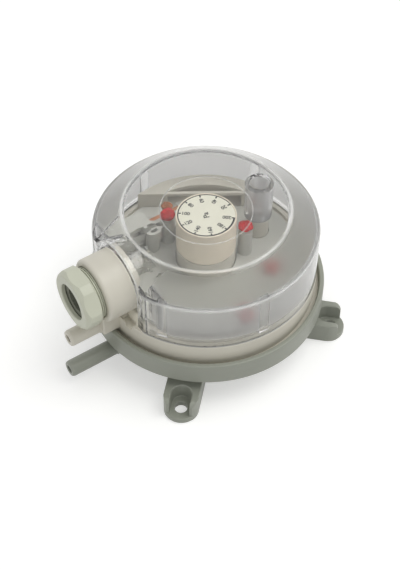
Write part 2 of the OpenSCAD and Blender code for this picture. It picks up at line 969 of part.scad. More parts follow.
// A fixed contact's terminal, with an arm that reaches across to the rivet
module fixed_terminal(i, lane_z) {
    color(tinned_brass)
        difference() {
            union() {
                terminal_strip(i, 0);
                terminal_pad(i);
                block([-lane_common_x - strip_w / 2, contact_y - strip_w / 2, lane_z],
                      [-lane_fixed_x, contact_y + strip_w / 2, lane_z + strip_t]);
            }
            terminal_hole(i);
            translate([-lane_common_x, contact_y, lane_z - past])
                cylinder(r = rivet_r / 2, h = strip_t + 2 * past, $fn = small_fn);
        }
}

module open_terminal() {
    fixed_terminal(1, open_z);
}

module closed_terminal() {
    fixed_terminal(2, closed_z);
}

// A stud on the lower arm, facing up, and a rivet in the upper arm, facing down
module fixed_contacts() {
    color(silver)
        translate([-lane_common_x, contact_y, 0]) {
            translate([0, 0, open_z + strip_t])
                cylinder(r = rivet_r, h = open_stud_h, $fn = small_fn);
            translate([0, 0, open_z + strip_t / 2])
                cylinder(r = rivet_r / 2 - 0.05, h = strip_t, $fn = small_fn);
            translate([0, 0, closed_z - rivet_h])
                cylinder(r = rivet_r, h = rivet_h, $fn = small_fn);
            translate([0, 0, closed_z - rivet_h / 2])
                cylinder(r = rivet_r / 2 - 0.05, h = strip_t, $fn = small_fn);
        }
}

module contact_blade() {
    color(copper)
        difference() {
            block([-lane_common_x - blade_w / 2, -blade_root_y - 1.2, blade_z],
                  [blade_w / 2 - lane_common_x, blade_tip_y, blade_z + blade_t]);
            translate([-lane_common_x, contact_y, blade_z - past])
                cylinder(r = rivet_r / 2, h = blade_t + 2 * past, $fn = small_fn);
        }
}

// A double-headed rivet through the blade's tip
module moving_contact() {
    color(silver)
        translate([-lane_common_x, contact_y, 0]) {
            translate([0, 0, blade_z - rivet_h])
                cylinder(r = rivet_r, h = rivet_h, $fn = small_fn);
            translate([0, 0, blade_z - rivet_h / 2])
                cylinder(r = rivet_r / 2 - 0.05, h = blade_t + rivet_h, $fn = small_fn);
            translate([0, 0, blade_z + blade_t])
                cylinder(r = rivet_r, h = rivet_h, $fn = small_fn);
        }
}

module switch_lever() {
    nib_low_z = collar_top_z + gap;
    nib_high_z = blade_z - gap;
    color(gland_plastic)
        difference() {
            union() {
                block([-lever_end_x, -lever_w / 2, lever_z],
                      [-lever_tip_x, lever_w / 2, lever_z + lever_t]);
                block([-lever_tip_x - lever_nib_w, -lever_w / 2, nib_low_z],
                      [-lever_tip_x, lever_w / 2, lever_z + lever_t / 2]);
                block([-lane_common_x - lever_nib_w / 2, -lever_w / 2, lever_z],
                      [lever_nib_w / 2 - lane_common_x, 0, nib_high_z]);
                translate([-pivot_x, lever_w / 2, pivot_z])
                    rotate([90, 0, 0])
                        cylinder(r = hub_r, h = lever_w, $fn = small_fn);
            }
            translate([-pivot_x, lever_w / 2 + past, pivot_z])
                rotate([90, 0, 0])
                    cylinder(r = pin_r + 0.06, h = lever_w + 2 * past, $fn = small_fn);
        }
}

module lever_pin() {
    pin_half_l = cheek_y + cheek_t;
    color(steel)
        translate([-pivot_x, pin_half_l, pivot_z])
            rotate([90, 0, 0])
                cylinder(r = pin_r, h = 2 * pin_half_l, $fn = small_fn);
}

module carrier_plate_outline() {
    difference() {
        circle(r = carrier_r);
        circle(r = carrier_bore_r);
        rotate(segment_az)
            translate([segment_d - gap, -carrier_r])
                square(2 * carrier_r);
        translate([0, screw_y])
            circle(r = post_r + gap);
    }
}

module terminal_block() {
    intersection() {
        union() {
            block([-block_left_x, -block_front_y, deck_z + past / 2],
                  [-block_right_x, -block_back_y, block_top_z]);
            block([-block_right_x - past, -block_front_y, deck_z + past / 2],
                  [-step_right_x, -step_back_y, step_top_z]);
        }
        translate([0, 0, deck_z])
            cylinder(r = block_clip_r, h = block_top_z);
    }
}

module switch_carrier() {
    color(ivory_plastic)
        difference() {
            union() {
                translate([0, 0, deck_z])
                    linear_extrude(carrier_t)
                        carrier_plate_outline();
                intersection() {
                    terminal_block();
                    tube(block_clip_r, carrier_bore_r, carrier_z - past, block_top_z);
                }
                translate([-guide_x, -guide_y, deck_z])
                    cylinder(r = guide_r, h = guide_top_z - deck_z);
                for (s = [-1, 1])
                    block([-pivot_x - cheek_half_w, s * (cheek_y + cheek_t / 2) - cheek_t / 2, deck_z],
                          [cheek_half_w - pivot_x, s * (cheek_y + cheek_t / 2) + cheek_t / 2,
                           cheek_top_z]);
                for (p = calibration_xy)
                    translate([p[0], p[1], deck_z])
                        cylinder(r = calibration_post_r, h = calibration_post_top_z - deck_z);
            }
            for (i = [0:2]) {
                terminal_strip(i, 0.1);
                translate([-terminal_screw_x, -terminal_y(i), carrier_z])
                    cylinder(r = terminal_shank_r + grip, h = step_top_z, $fn = small_fn);
            }
            translate([-guide_x, -guide_y, carrier_z])
                cylinder(r = guide_bore_r, h = guide_top_z);
            translate([-pivot_x, cheek_y + cheek_t + past, pivot_z])
                rotate([90, 0, 0])
                    cylinder(r = pin_r + grip, h = 2 * (cheek_y + cheek_t + past), $fn = small_fn);
            for (p = calibration_xy)
                translate([p[0], p[1], calibration_post_top_z - calibration_shank_l - past])
                    cylinder(r = calibration_shank_r + grip, h = calibration_shank_l + 2 * past);
            for (p = carrier_screw_xy)
                translate([p[0], p[1], deck_z - past])
                    cylinder(r = carrier_shank_r + fit, h = carrier_t + 2 * past);
        }
}

module carrier_screws() {
    color(red_lacquer)
        for (p = carrier_screw_xy)
            translate([p[0], p[1], carrier_z])
                slotted_screw(carrier_head_r, carrier_head_h, carrier_shank_r, carrier_shank_l);
}

module calibration_screws() {
    color(red_lacquer)
        for (p = calibration_xy)
            translate([p[0], p[1], calibration_post_top_z])
                rotate([0, 0, 115])
                    slotted_screw(calibration_head_r, calibration_head_h, calibration_shank_r,
                                  calibration_shank_l);
}

module terminal_screws() {
    color(steel)
        for (i = [0:2])
            translate([-terminal_screw_x, -terminal_y(i), common_z + strip_t + clamp_t])
                slotted_screw(terminal_head_r, terminal_head_h, terminal_shank_r,
                              step_top_z - carrier_z + strip_t + clamp_t - past / 2);
}

module wire_clamps() {
    color(tinned_brass)
        for (i = [0:2])
            difference() {
                block([-terminal_screw_x - clamp_w / 2, -terminal_y(i) - clamp_w / 2,
                       common_z + strip_t],
                      [clamp_w / 2 - terminal_screw_x, clamp_w / 2 - terminal_y(i),
                       common_z + strip_t + clamp_t]);
                terminal_hole(i);
            }
}

lower_housing();
upper_housing();
diaphragm();
diaphragm_plate();
plunger_collar();
plunger_seal();
setting_spring();
spring_seat();
dial_knob();
dial_scale();
cover();
cover_screw();
gland_body();
gland_seal();
gland_nut();
switch_carrier();
carrier_screws();
calibration_screws();
switch_lever();
lever_pin();
contact_blade();
moving_contact();
fixed_contacts();
common_terminal();
open_terminal();
closed_terminal();
terminal_screws();
wire_clamps();
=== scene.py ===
import json
import math

import bmesh
import bpy
from mathutils import Matrix, Vector, noise


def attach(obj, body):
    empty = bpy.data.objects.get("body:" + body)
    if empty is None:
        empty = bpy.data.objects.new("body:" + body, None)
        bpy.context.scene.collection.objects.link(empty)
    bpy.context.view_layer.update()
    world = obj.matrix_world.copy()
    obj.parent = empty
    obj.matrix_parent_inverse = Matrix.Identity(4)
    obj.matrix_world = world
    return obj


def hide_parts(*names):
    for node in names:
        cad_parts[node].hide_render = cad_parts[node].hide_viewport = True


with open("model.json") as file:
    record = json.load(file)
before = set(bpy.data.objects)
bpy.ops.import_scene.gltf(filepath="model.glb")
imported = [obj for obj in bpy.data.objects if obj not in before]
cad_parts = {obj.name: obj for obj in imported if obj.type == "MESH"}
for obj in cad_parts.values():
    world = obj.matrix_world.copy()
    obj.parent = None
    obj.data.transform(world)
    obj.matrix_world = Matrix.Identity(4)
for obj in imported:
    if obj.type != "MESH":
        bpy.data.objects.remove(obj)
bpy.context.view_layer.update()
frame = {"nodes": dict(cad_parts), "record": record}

MM = 0.001
SCENE = bpy.context.scene

# The photograph's size in pixels, and the camera that was fitted to the object's circles in it
PHOTO_W, PHOTO_H = 400, 570
FOCAL_PX = 1258.4
SENSOR_MM = 36
CAMERA_AT = Vector((245.1, -169.7, 361.7)) * MM
CAMERA_TURN, CAMERA_TILT, CAMERA_ROLL = 55.7, 40.64, 0.14

# Sizes of the solids, in millimetres, and azimuths in degrees. R is a radius, T a thickness, D a
# depth, H a height, L a length and W a width. LOW, TOP and Z are heights above the base. Y is
# counted along -Y, the way the ports point, except in POST_Y, which lies behind the axis.
RIM_R, RIM_IN_R, RIM_LOW, RIM_TOP = 42.5, 40.8, 12.3, 21.2
FOOT_R, FOOT_BEVEL, DISH_R, LEDGE_Z, LEDGE_IN_R, FLOOR_T = 30.0, 1.2, 38.5, 14.6, 35.0, 2.2
SNAP_LOW, SNAP_Z, SNAP_TOP, SNAP_D = 18.6, 18.9, 19.3, 0.35
LUG_AZIMUTHS = (-45, 45)
LUG_HALF_W, LUG_ROUND_X, LUG_WALL_X, LUG_WALL_H, LUG_CORNER_R = 6.2, 45.3, 49.5, 8.4, 2.2
LUG_HOLE_X, LUG_HOLE_R, LUG_POCKET_X, LUG_POCKET_R = 46.2, 2.3, 45.0, 3.6
PORT_R, PORT_ROOT_R, PORT_BORE_R, PORT_TIP_L, PORT_TIP_D = 3.0, 3.3, 1.5, 0.8, 0.35
LOWER_PORT_Z, LOWER_ROOT_Y, LOWER_PORT_Y = 6.8, 39.5, 58.0
UPPER_PORT_Z, UPPER_ROOT_Y, UPPER_PORT_Y = 23.3, 45.7, 57.0
NOTCH_HALF_W, NOTCH_GAP = 3.5, 0.3
CLAMP_Z, FLANGE_R, FLANGE_TOP = 15.1, 40.6, 18.4
BAND_R, BAND_TAPER = 39.4, ((0.5, FLANGE_TOP), (0.15, 21.3), (0, 24.45))
DECK_LOW, DECK_Z, UPPER_IN_R = 25.5, 27.7, 36.8
BEAD_IN_R, BEAD_R, BEAD_TOP = 37.2, 39.2, 16.6
NECK_HALF_W, NECK_BACK_Y, NECK_FRONT_Y, NECK_LOW = 4.4, 34.2, 45.4, 21.5
GLAND_Z, BOSS_R, BOSS_BORE_R, BOSS_BACK_Y, BOSS_Y = 41.0, 11.5, 9.25, 33.0, 46.2
RECESS_X, RECESS_Y, RECESS_LOW = (4.8, 10.8), (35.8, 38.6), 25.9
LIP_R, LIP_IN_R, LIP_TOP = 36.1, 34.9, 29.0
TOWER_R, TOWER_BORE_R, TOWER_TOP, TOWER_BASE_R, TOWER_BASE_TOP = 9.0, 7.2, 46.5, 10.5, 35.9
GROOVE_LOW, GROOVE_TOP, GROOVE_D = 37.6, 39.0, 0.5
WINDOW_HALF_W, WINDOW_LOW, WINDOW_TOP = 2.8, 30.1, 34.7
KEYWAY_R, KEYWAY_HALF_W, KEYWAY_LOW = 7.8, 1.6, 35.7
STEM_HOLE_R = 3.2
SEGMENT_AZ, SEGMENT_R, SEGMENT_X, SEGMENT_TOP = 147, 34.4, 24.4, 36.0
PARTITION_T, CHANNEL_R, CHANNEL_LOW = 1.2, 29.0, 31.0
SHELF_T, POCKET_HALF_W, POCKET_D = 1.2, 13.5, 7.0
POST_Y, POST_R, POST_TOP, SCREW_HOLE_R, SCREW_HOLE_D = 22.3, 4.0, 38.0, 1.6, 8
STUD_R, STUD_H, PILOT_R, PILOT_D = 2.6, 3, 1.22, 1.8
COVER_TOP_R, SHOULDER_Z, COVER_TOP, COVER_T = 29.1, 46.6, 54.8, 2.0
FRONT_Y, HOOD_R, HOOD_BORE_R, HOOD_BACK_Y = 36.0, 14.2, 12.0, 17.0
WELL_R, WELL_BORE_R, WELL_LOW, WELL_SEAT = 5.0, 3.6, 38.3, 40.1
RIB_AZIMUTHS, RIB_HALF_W, RIB_D, RIB_LOW, RIB_TOP = (-57, -4, 117, 183), 1.8, 0.8, 29.3, 46.0
PLATE_X, PLATE_Y, PLATE_T, PLATE_LOW = (13, 22), 31.0, 1.0, 32
RING_MARK_R, RING_MARK_W, RING_MARK_D = 15.9, 0.35, 0.1
NUT_FLATS, NUT_BACK_Y, NUT_FRONT_Y, NUT_CORNER_R = 20.6, 48.3, 54.3, 11.05
NUT_FACE_R, NUT_BEVEL, NUT_CHAMFER = 9.7, 1.5, 0.5
NUT_THREAD_R, NUT_SEAT_Y, NUT_HOLE_R = 9.3, 52.8, 6.6
KNOB_R, KNOB_IN_R, KNOB_LOW, KNOB_TOP, KNOB_ROOM_TOP = 10.5, 9.4, 36.2, 50.3, 48.0
KNOB_BEAD_LOW, KNOB_BEAD_TOP, KNOB_BEAD_D = 37.9, 38.7, 0.55
SPINDLE_R, SPINDLE_LOW, SPINDLE_TOP = 2.4, 35.5, 48.8
SCALE_LOW, SCALE_TOP, SCALE_RIM_T = 49.6, 50.1, 0.45

# Places of the screws, and how high the lacquer on them lies
CARRIER_SCREWS, CARRIER_SEAL_Z = ((29.0, -4.0), (17.0, 15.5), (5.0, -24.0)), 31.2
CALIBRATION_SCREWS, CALIBRATION_SEAL_Z = ((5.9, 12.6), (-14.0, -6.9)), 42.4

# How far a cut reaches beyond a face, or a shape into the one it is joined to
OVER = 1

# Print on the dial: ten marks and numbers, anticlockwise from the first, and a line round the
# edge that grows wider towards the last. LETTER_SPREAD makes the letters' strokes thicker.
PRINT_T = 0.03
FIRST_MARK, LAST_MARK, MARKS, MARK_STEP = 88.0, 408.0, 10, 20
MARK_IN_R, MARK_HALF_W = 8.7, 0.25
EDGE_R, THIN_EDGE, WIDE_EDGE, EDGE_STEPS = 9.95, 0.25, 0.62, 120
NUMBER_R, NUMBER_SIZE, LETTER_SPREAD = 7.1, 2.0, 0.055
UNIT, UNIT_AZ, UNIT_SIZE = "Pa", 161, 2.8


def srgb(red, green, blue):
    """A colour as it shows on screen, turned into the linear values that a shader takes."""
    def linear(c):
        c /= 255
        return c / 12.92 if c <= 0.04045 else ((c + 0.055) / 1.055) ** 2.4
    return (linear(red), linear(green), linear(blue), 1)


# The look of the cover: shares of light that it scatters, its roughness and its tints. The edge haze
# and the edge tint are painted highlights: they make the cover's edges hazy and lighter so that
# bright lines show there. The two for lamps are shares of their light that it lets through. HOOD_WAVE
# is in millimetres, and frost begins at the height FROST_LOW.
HAZE_CLEAR, HAZE_SLOPE, HAZE_WALL, HAZE_HIGHLIGHT, HAZE_WELL = 0.003, 0.09, 0.42, 0.38, 0.3
SKIN_ROUGH, FROST_SKIN_ROUGH, FROST_ROUGH, WELL_ROUGH = 0.02, 0.08, 0.3, 0.06
COVER_TINT, HIGHLIGHT_TINT = srgb(238, 238, 238), srgb(250, 250, 248)
SLOPE_TINT, WALL_TINT = srgb(219, 219, 217), srgb(228, 228, 228)
LAMP_CLEAR, LAMP_FROST = (0.87, 0.87, 0.87, 1), (0.6, 0.6, 0.6, 1)
FROST_LOW, RIB_FROST, HOOD_WAVE = 30.8, 0.7, 0.4


# Materials

def node(mat, kind, **values):
    """A new shader node. values are its settings, or its inputs by name."""
    made = mat.node_tree.nodes.new(kind)
    for key, value in values.items():
        if hasattr(made, key):
            setattr(made, key, value)
        else:
            made.inputs[key.replace("_", " ")].default_value = value
    return made


def link(mat, source, target):
    mat.node_tree.links.new(source, target)


def maths(mat, operation, first, second=None):
    """The result of a Math node on sockets or numbers."""
    made = node(mat, "ShaderNodeMath", operation=operation)
    for slot, value in enumerate((first, second)):
        if isinstance(value, (int, float)):
            made.inputs[slot].default_value = value
        elif value is not None:
            link(mat, value, made.inputs[slot])
    return made.outputs["Value"]


def product(mat, first, *others):
    for other in others:
        first = maths(mat, "MULTIPLY", first, other)
    return first


def largest(mat, first, *others):
    for other in others:
        first = maths(mat, "MAXIMUM", first, other)
    return first


def length(mat, across, along):
    """How far a point lies from the origin, from its two coordinates."""
    squares = maths(mat, "ADD", product(mat, across, across), product(mat, along, along))
    return maths(mat, "SQRT", squares)


def ramp(mat, value, start, end, low=0.0, high=1.0):
    """low at start, high at end, and a straight slope between them."""
    made = node(mat, "ShaderNodeMapRange", From_Min=start, From_Max=end, To_Min=low, To_Max=high)
    link(mat, value, made.inputs["Value"])
    return made.outputs["Result"]


def ramp_mm(mat, value, start, end, low=0.0):
    """A ramp up to 1 over a length on the part, with its start and end in millimetres."""
    return ramp(mat, value, start * MM, end * MM, low)


def mixed(mat, share, low, high):
    """The colour low where the share is 0, and high where it is 1. Each is a colour or a socket."""
    made = node(mat, "ShaderNodeMix", data_type="RGBA")
    link(mat, share, made.inputs["Factor"])
    for slot, colour in (("A", low), ("B", high)):
        if isinstance(colour, tuple):
            made.inputs[slot].default_value = colour
        else:
            link(mat, colour, made.inputs[slot])
    return made.outputs["Result"]


def plain_material(name, **values):
    """A material with one Principled shader, whose inputs are set by name."""
    mat = bpy.data.materials.new(name)
    mat.use_nodes = True
    shader = mat.node_tree.nodes["Principled BSDF"]
    for key, value in values.items():
        shader.inputs[key.replace("_", " ")].default_value = value
    return mat, shader


def varied_colour(mat, shader, colour, spread, scale):
    """Base colour that drifts a little lighter and darker. The place on the surface comes back."""
    place = node(mat, "ShaderNodeTexCoord").outputs["Object"]
    cloud = node(mat, "ShaderNodeTexNoise", Scale=scale, Detail=3.0)
    drift = node(mat, "ShaderNodeValToRGB")
    dark, light = drift.color_ramp.elements
    dark.position, light.position = 0.3, 0.7
    dark.color = [c * (1 - spread) for c in colour[:3]] + [1]
    light.color = [min(1, c * (1 + spread)) for c in colour[:3]] + [1]
    link(mat, place, cloud.inputs["Vector"])
    link(mat, cloud.outputs["Fac"], drift.inputs["Fac"])
    link(mat, drift.outputs["Color"], shader.inputs["Base Color"])
    return place


def varied_roughness(mat, shader, place, low, high, scale):
    """Roughness that drifts between the two values."""
    cloud = node(mat, "ShaderNodeTexNoise", Scale=scale, Detail=4.0)
    link(mat, place, cloud.inputs["Vector"])
    link(mat, ramp(mat, cloud.outputs["Fac"], 0, 1, low, high), shader.inputs["Roughness"])


def bumpy(mat, shader, height, depth_mm, strength):
    """A surface that seems raised by a share of the depth, without a change of its shape."""
    bump = node(mat, "ShaderNodeBump", Strength=strength, Distance=depth_mm * MM)
    link(mat, height, bump.inputs["Height"])
    link(mat, bump.outputs["Normal"], shader.inputs["Normal"])


def grain(mat, shader, place, scale, depth_mm, strength):
    """A fine, uneven texture."""
    cloud = node(mat, "ShaderNodeTexNoise", Scale=scale, Detail=2.0)
    link(mat, place, cloud.inputs["Vector"])
    bumpy(mat, shader, cloud.outputs["Fac"], depth_mm, strength)


def moulded(name, colour, rough, spread=0.05):
    """Satin moulded plastic, with a fine eroded grain."""
    mat, shader = plain_material(name, IOR=1.5)
    place = varied_colour(mat, shader, colour, spread, scale=45)
    varied_roughness(mat, shader, place, rough - 0.07, rough + 0.07, scale=260)
    grain(mat, shader, place, scale=2600, depth_mm=0.03, strength=0.35)
    return mat


def metal(name, colour, rough):
    """Bare or plated metal, a little uneven in colour and gloss."""
    mat, shader = plain_material(name, Metallic=1.0)
    place = varied_colour(mat, shader, colour, spread=0.12, scale=300)
    varied_roughness(mat, shader, place, rough - 0.08, rough + 0.12, scale=900)
    return mat


def rubber(name, colour):
    """Dull rubber with a soft grain."""
    mat, shader = plain_material(name)
    place = varied_colour(mat, shader, colour, spread=0.15, scale=200)
    varied_roughness(mat, shader, place, 0.55, 0.75, scale=500)
    grain(mat, shader, place, scale=1800, depth_mm=0.04, strength=0.4)
    return mat


def lacquer(name, colour):
    """Sealing lacquer with a soft gloss, brushed on unevenly."""
    mat, shader = plain_material(
        name, Specular_IOR_Level=0.1, Coat_Weight=0.06, Coat_Roughness=0.15,
    )
    place = varied_colour(mat, shader, colour, spread=0.3, scale=700)
    varied_roughness(mat, shader, place, 0.3, 0.5, scale=500)
    grain(mat, shader, place, scale=900, depth_mm=0.12, strength=0.5)
    return mat


def near_ring(mat, radius, height, ring_r, ring_z, core, reach):
    """1 within core of a ring about an axis, and 0 beyond reach, all in millimetres."""
    across = maths(mat, "SUBTRACT", radius, ring_r * MM)
    along = maths(mat, "SUBTRACT", height, ring_z * MM)
    return ramp_mm(mat, length(mat, across, along), reach, core)


def off_rib(mat, x, y, slope, azimuth):
    """RIB_FROST on the wall at a rib, and 1 beside it, on the far side and on the slope."""
    cosine, sine = math.cos(math.radians(azimuth)), math.sin(math.radians(azimuth))
    along = maths(mat, "ADD", product(mat, x, cosine), product(mat, y, sine))
    across = maths(mat, "SUBTRACT", product(mat, y, cosine), product(mat, x, sine))
    across = maths(mat, "ABSOLUTE", across)
    beside = ramp_mm(mat, across, RIB_HALF_W - 0.2, RIB_HALF_W + 0.3, RIB_FROST)
    far_side = ramp_mm(mat, along, 5, 0)
    return largest(mat, beside, far_side, slope)


def below_skin(mat, radius, z):
    """0 on the outside of the cover's wall and slope, and 1 on their inner side."""
    rise, run = COVER_TOP - SHOULDER_Z, BAND_R - COVER_TOP_R
    slant = math.hypot(rise, run)
    skin = (rise * BAND_R + run * SHOULDER_Z) / slant
    outward = maths(
        mat, "ADD", product(mat, radius, rise / slant), product(mat, z, run / slant),
    )
    return maths(
        mat, "MINIMUM",
        ramp_mm(mat, radius, BAND_R - 0.5, BAND_R - 1.2),
        ramp_mm(mat, outward, skin - 0.5, skin - 1.2),
    )


def clear_plastic(name):
    """Clear plastic. The slope and the wall are frosted on their inner side, but not at the front
    and the foot, and less at the ribs. The hood has a wavy skin, and its edges carry painted
    highlights: they are made hazy and lighter so that they show bright lines. Lamps reach through
    it, so that what it covers is lit."""
    mat, shader = plain_material(name, IOR=1.49, Specular_IOR_Level=0.1)
    place = node(mat, "ShaderNodeTexCoord").outputs["Object"]
    axes = node(mat, "ShaderNodeSeparateXYZ")
    link(mat, place, axes.inputs["Vector"])
    x, y, z = (axes.outputs[axis] for axis in "XYZ")
    sideways = maths(mat, "ABSOLUTE", x)
    radius = length(mat, x, y)
    hood_radius = length(mat, x, maths(mat, "SUBTRACT", z, GLAND_Z * MM))
    well_radius = length(mat, x, maths(mat, "SUBTRACT", y, POST_Y * MM))

    off_top = ramp_mm(mat, radius, COVER_TOP_R - 0.9, COVER_TOP_R + 0.3)
    wall = ramp_mm(mat, z, SHOULDER_Z, SHOULDER_Z - 0.8)
    slope = maths(mat, "SUBTRACT", 1.0, wall)
    beside_hood = ramp_mm(mat, sideways, HOOD_R - 0.4, HOOD_R + 0.4)
    behind_hood = ramp_mm(mat, y, -HOOD_BACK_Y - 4, -HOOD_BACK_Y)
    frost = product(
        mat, off_top, largest(mat, beside_hood, behind_hood),
        ramp_mm(mat, y, -PLATE_Y - 0.3, -PLATE_Y + 0.3),
        ramp_mm(mat, z, FROST_LOW - 0.4, FROST_LOW + 0.4),
        *[off_rib(mat, x, y, slope, azimuth) for azimuth in RIB_AZIMUTHS],
    )
    frosted_inner = product(mat, frost, below_skin(mat, radius, z))

    cloud = node(mat, "ShaderNodeTexNoise", Scale=120.0, Detail=3.0)
    link(mat, place, cloud.inputs["Vector"])
    scatter = product(
        mat, ramp(mat, wall, 0, 1, HAZE_SLOPE, HAZE_WALL), frosted_inner,
        ramp(mat, cloud.outputs["Fac"], 0.3, 0.7, 0.9, 1.1),
    )
    # Painted highlights: bright lines on the top edge, the shoulder, the foot, the hood's rim and
    # mouth and the ring mark
    top_edge = near_ring(mat, radius, z, COVER_TOP_R, COVER_TOP, 0.3, 1.0)
    shoulder = near_ring(mat, radius, z, BAND_R, SHOULDER_Z, 0.3, 0.9)
    foot = near_ring(mat, radius, z, BAND_R, DECK_Z, 0.5, 1.1)
    hood_rim = near_ring(mat, hood_radius, y, HOOD_R, -FRONT_Y, 0.3, 0.8)
    hood_mouth = near_ring(mat, hood_radius, y, HOOD_BORE_R, -FRONT_Y, 0.2, 0.6)
    mark = near_ring(mat, radius, z, RING_MARK_R, COVER_TOP - COVER_T, 0.05, 0.35)
    edges = largest(mat, top_edge, shoulder, foot, hood_rim, hood_mouth, mark)
    in_well = product(
        mat, ramp_mm(mat, well_radius, WELL_R + 0.3, WELL_R),
        ramp_mm(mat, z, COVER_TOP - 0.6, COVER_TOP - 1.6),
    )
    haze = largest(
        mat, scatter, product(mat, edges, HAZE_HIGHLIGHT), product(mat, in_well, HAZE_WELL), HAZE_CLEAR,
    )
    link(mat, maths(mat, "SUBTRACT", 1.0, haze), shader.inputs["Transmission Weight"])

    skin_rough = ramp(mat, frost, 0, 1, SKIN_ROUGH, FROST_SKIN_ROUGH)
    rough = maths(mat, "ADD", skin_rough, product(mat, frosted_inner, FROST_ROUGH))
    rough = largest(mat, rough, product(mat, in_well, WELL_ROUGH))
    link(mat, rough, shader.inputs["Roughness"])
    tint = mixed(mat, frost, COVER_TINT, mixed(mat, wall, SLOPE_TINT, WALL_TINT))
    # Painted highlight: the edges get a lighter tint
    link(mat, mixed(mat, edges, tint, HIGHLIGHT_TINT), shader.inputs["Base Color"])

    in_hood = product(
        mat, off_top, ramp_mm(mat, y, -HOOD_BACK_Y - 1, -HOOD_BACK_Y - 5),
        ramp_mm(mat, sideways, HOOD_R + 1, HOOD_R),
    )
    waves = node(mat, "ShaderNodeTexNoise", Scale=330.0, Detail=2.0)
    link(mat, place, waves.inputs["Vector"])
    bumpy(mat, shader, product(mat, waves.outputs["Fac"], in_hood), HOOD_WAVE, strength=1.0)

    open_to_lamps = node(mat, "ShaderNodeBsdfTransparent")
    link(mat, mixed(mat, frost, LAMP_CLEAR, LAMP_FROST), open_to_lamps.inputs["Color"])
    mix = node(mat, "ShaderNodeMixShader")
    link(mat, node(mat, "ShaderNodeLightPath").outputs["Is Shadow Ray"], mix.inputs["Fac"])
    link(mat, shader.outputs["BSDF"], mix.inputs[1])
    link(mat, open_to_lamps.outputs["BSDF"], mix.inputs[2])
    link(mat, mix.outputs["Shader"], mat.node_tree.nodes["Material Output"].inputs["Surface"])
    return mat


GREY = moulded("grey_moulding", srgb(146, 149, 138), rough=0.4)
IVORY = moulded("ivory_moulding", srgb(208, 204, 191), rough=0.42)
CARRIER = moulded("carrier_moulding", srgb(190, 190, 182), rough=0.45)
KNOB = moulded("knob_moulding", srgb(244, 233, 212), rough=0.38)
GLAND = moulded("gland_moulding", srgb(197, 199, 181), rough=0.4)
WHITE = moulded("white_moulding", srgb(222, 220, 212), rough=0.45)
SCALE = moulded("scale_face", srgb(236, 234, 216), rough=0.5, spread=0.02)
INK = moulded("black_print", srgb(10, 10, 12), rough=0.6, spread=0.1)
SILICONE = rubber("silicone_rubber", srgb(190, 120, 98))
SEAL = rubber("grey_rubber", srgb(117, 119, 106))
STEEL = metal("zinc_plated_steel", srgb(200, 200, 196), rough=0.32)
WIRE = metal("spring_wire", srgb(180, 180, 182), rough=0.28)
TIN = metal("tin_plated_brass", srgb(198, 196, 188), rough=0.35)
COPPER = metal("copper_alloy_strip", srgb(206, 140, 100), rough=0.35)
SILVER = metal("silver_contact", srgb(225, 225, 220), rough=0.2)
RED = lacquer("red_lacquer", srgb(182, 0, 0))
# Painted reflection: a brownish drop beside the left red seal stands in for a reflection of that
# seal, with no screw under it
SEAL_REFLECTION = lacquer("painted_seal_reflection", srgb(152, 92, 50))
CLEAR = clear_plastic("clear_moulding")

NODE_MATERIALS = {
    "lower_housing": GREY, "upper_housing": IVORY, "diaphragm": SILICONE, "diaphragm_plate": WHITE,
    "plunger_collar": WHITE, "plunger_seal": SILICONE, "setting_spring": WIRE, "spring_seat": WHITE,
    "dial_knob": KNOB, "dial_scale": SCALE, "cover": CLEAR, "cover_screw": STEEL, "gland_body": GLAND,
    "gland_seal": SEAL, "gland_nut": GLAND, "switch_carrier": CARRIER, "carrier_screws": STEEL,
    "calibration_screws": STEEL, "switch_lever": WHITE, "lever_pin": STEEL, "contact_blade": COPPER,
    "moving_contact": SILVER, "fixed_contacts": SILVER, "common_terminal": TIN,
    "open_terminal": TIN, "closed_terminal": TIN, "terminal_screws": STEEL, "wire_clamps": TIN,
}
BODIES = {
    name: body
    for body, names in frame["record"]["behaviour"]["bodies"].items()
    for name in names
}
for name, piece in frame["nodes"].items():
    piece.data.materials.clear()
    piece.data.materials.append(NODE_MATERIALS[name])


# Shapes, all made in millimetres

HERE = Matrix.Identity(4)
UPRIGHT = Matrix.Rotation(math.radians(90), 4, "X")


def at(x=0, y=0, z=0):
    return Matrix.Translation((x, y, z))


def turned(azimuth):
    return Matrix.Rotation(math.radians(azimuth), 4, "Z")


def portward(z):
    """A shape's own +Z laid along -Y, at this height."""
    return at(z=z) @ UPRIGHT


def rounded(*corners, steps=4):
    """An outline through the corners. A corner's third number is the radius that rounds it."""
    points = []
    for i, corner in enumerate(corners):
        here = Vector(corner[:2])
        if len(corner) < 3:
            points.append(here)
            continue
        back = (Vector(corners[i - 1][:2]) - here).normalized()
        ahead = (Vector(corners[(i + 1) % len(corners)][:2]) - here).normalized()
        half = back.angle(ahead) / 2
        reach = corner[2] / math.tan(half)
        centre = here + (back + ahead).normalized() * corner[2] / math.sin(half)
        first = here + back * reach - centre
        turn = first.angle_signed(here + ahead * reach - centre)
        for k in range(steps + 1):
            # angle_signed is clockwise
            points.append(centre + Matrix.Rotation(-turn * k / steps, 2) @ first)
    return points


def arc(r, centre, start, end, segments):
    """Points on an arc from one angle in degrees to another, with both ends."""
    turns = [math.radians(start + (end - start) * i / segments) for i in range(segments + 1)]
    return [Vector((centre[0] + r * math.cos(a), centre[1] + r * math.sin(a))) for a in turns]


def soft(z0, z1, low=0.0, high=0.0, steps=3):
    """Levels of a straight solid, with the radii that round its lower and upper edges."""
    turns = [math.pi / 2 * i / steps for i in range(steps + 1)]
    lower = [(z0 + low * (1 - math.cos(a)), low * (1 - math.sin(a))) for a in turns]
    upper = [(z1 - high * (1 - math.cos(a)), high * (1 - math.sin(a))) for a in reversed(turns)]
    return (lower if low else [(z0, 0)]) + (upper if high else [(z1, 0)])


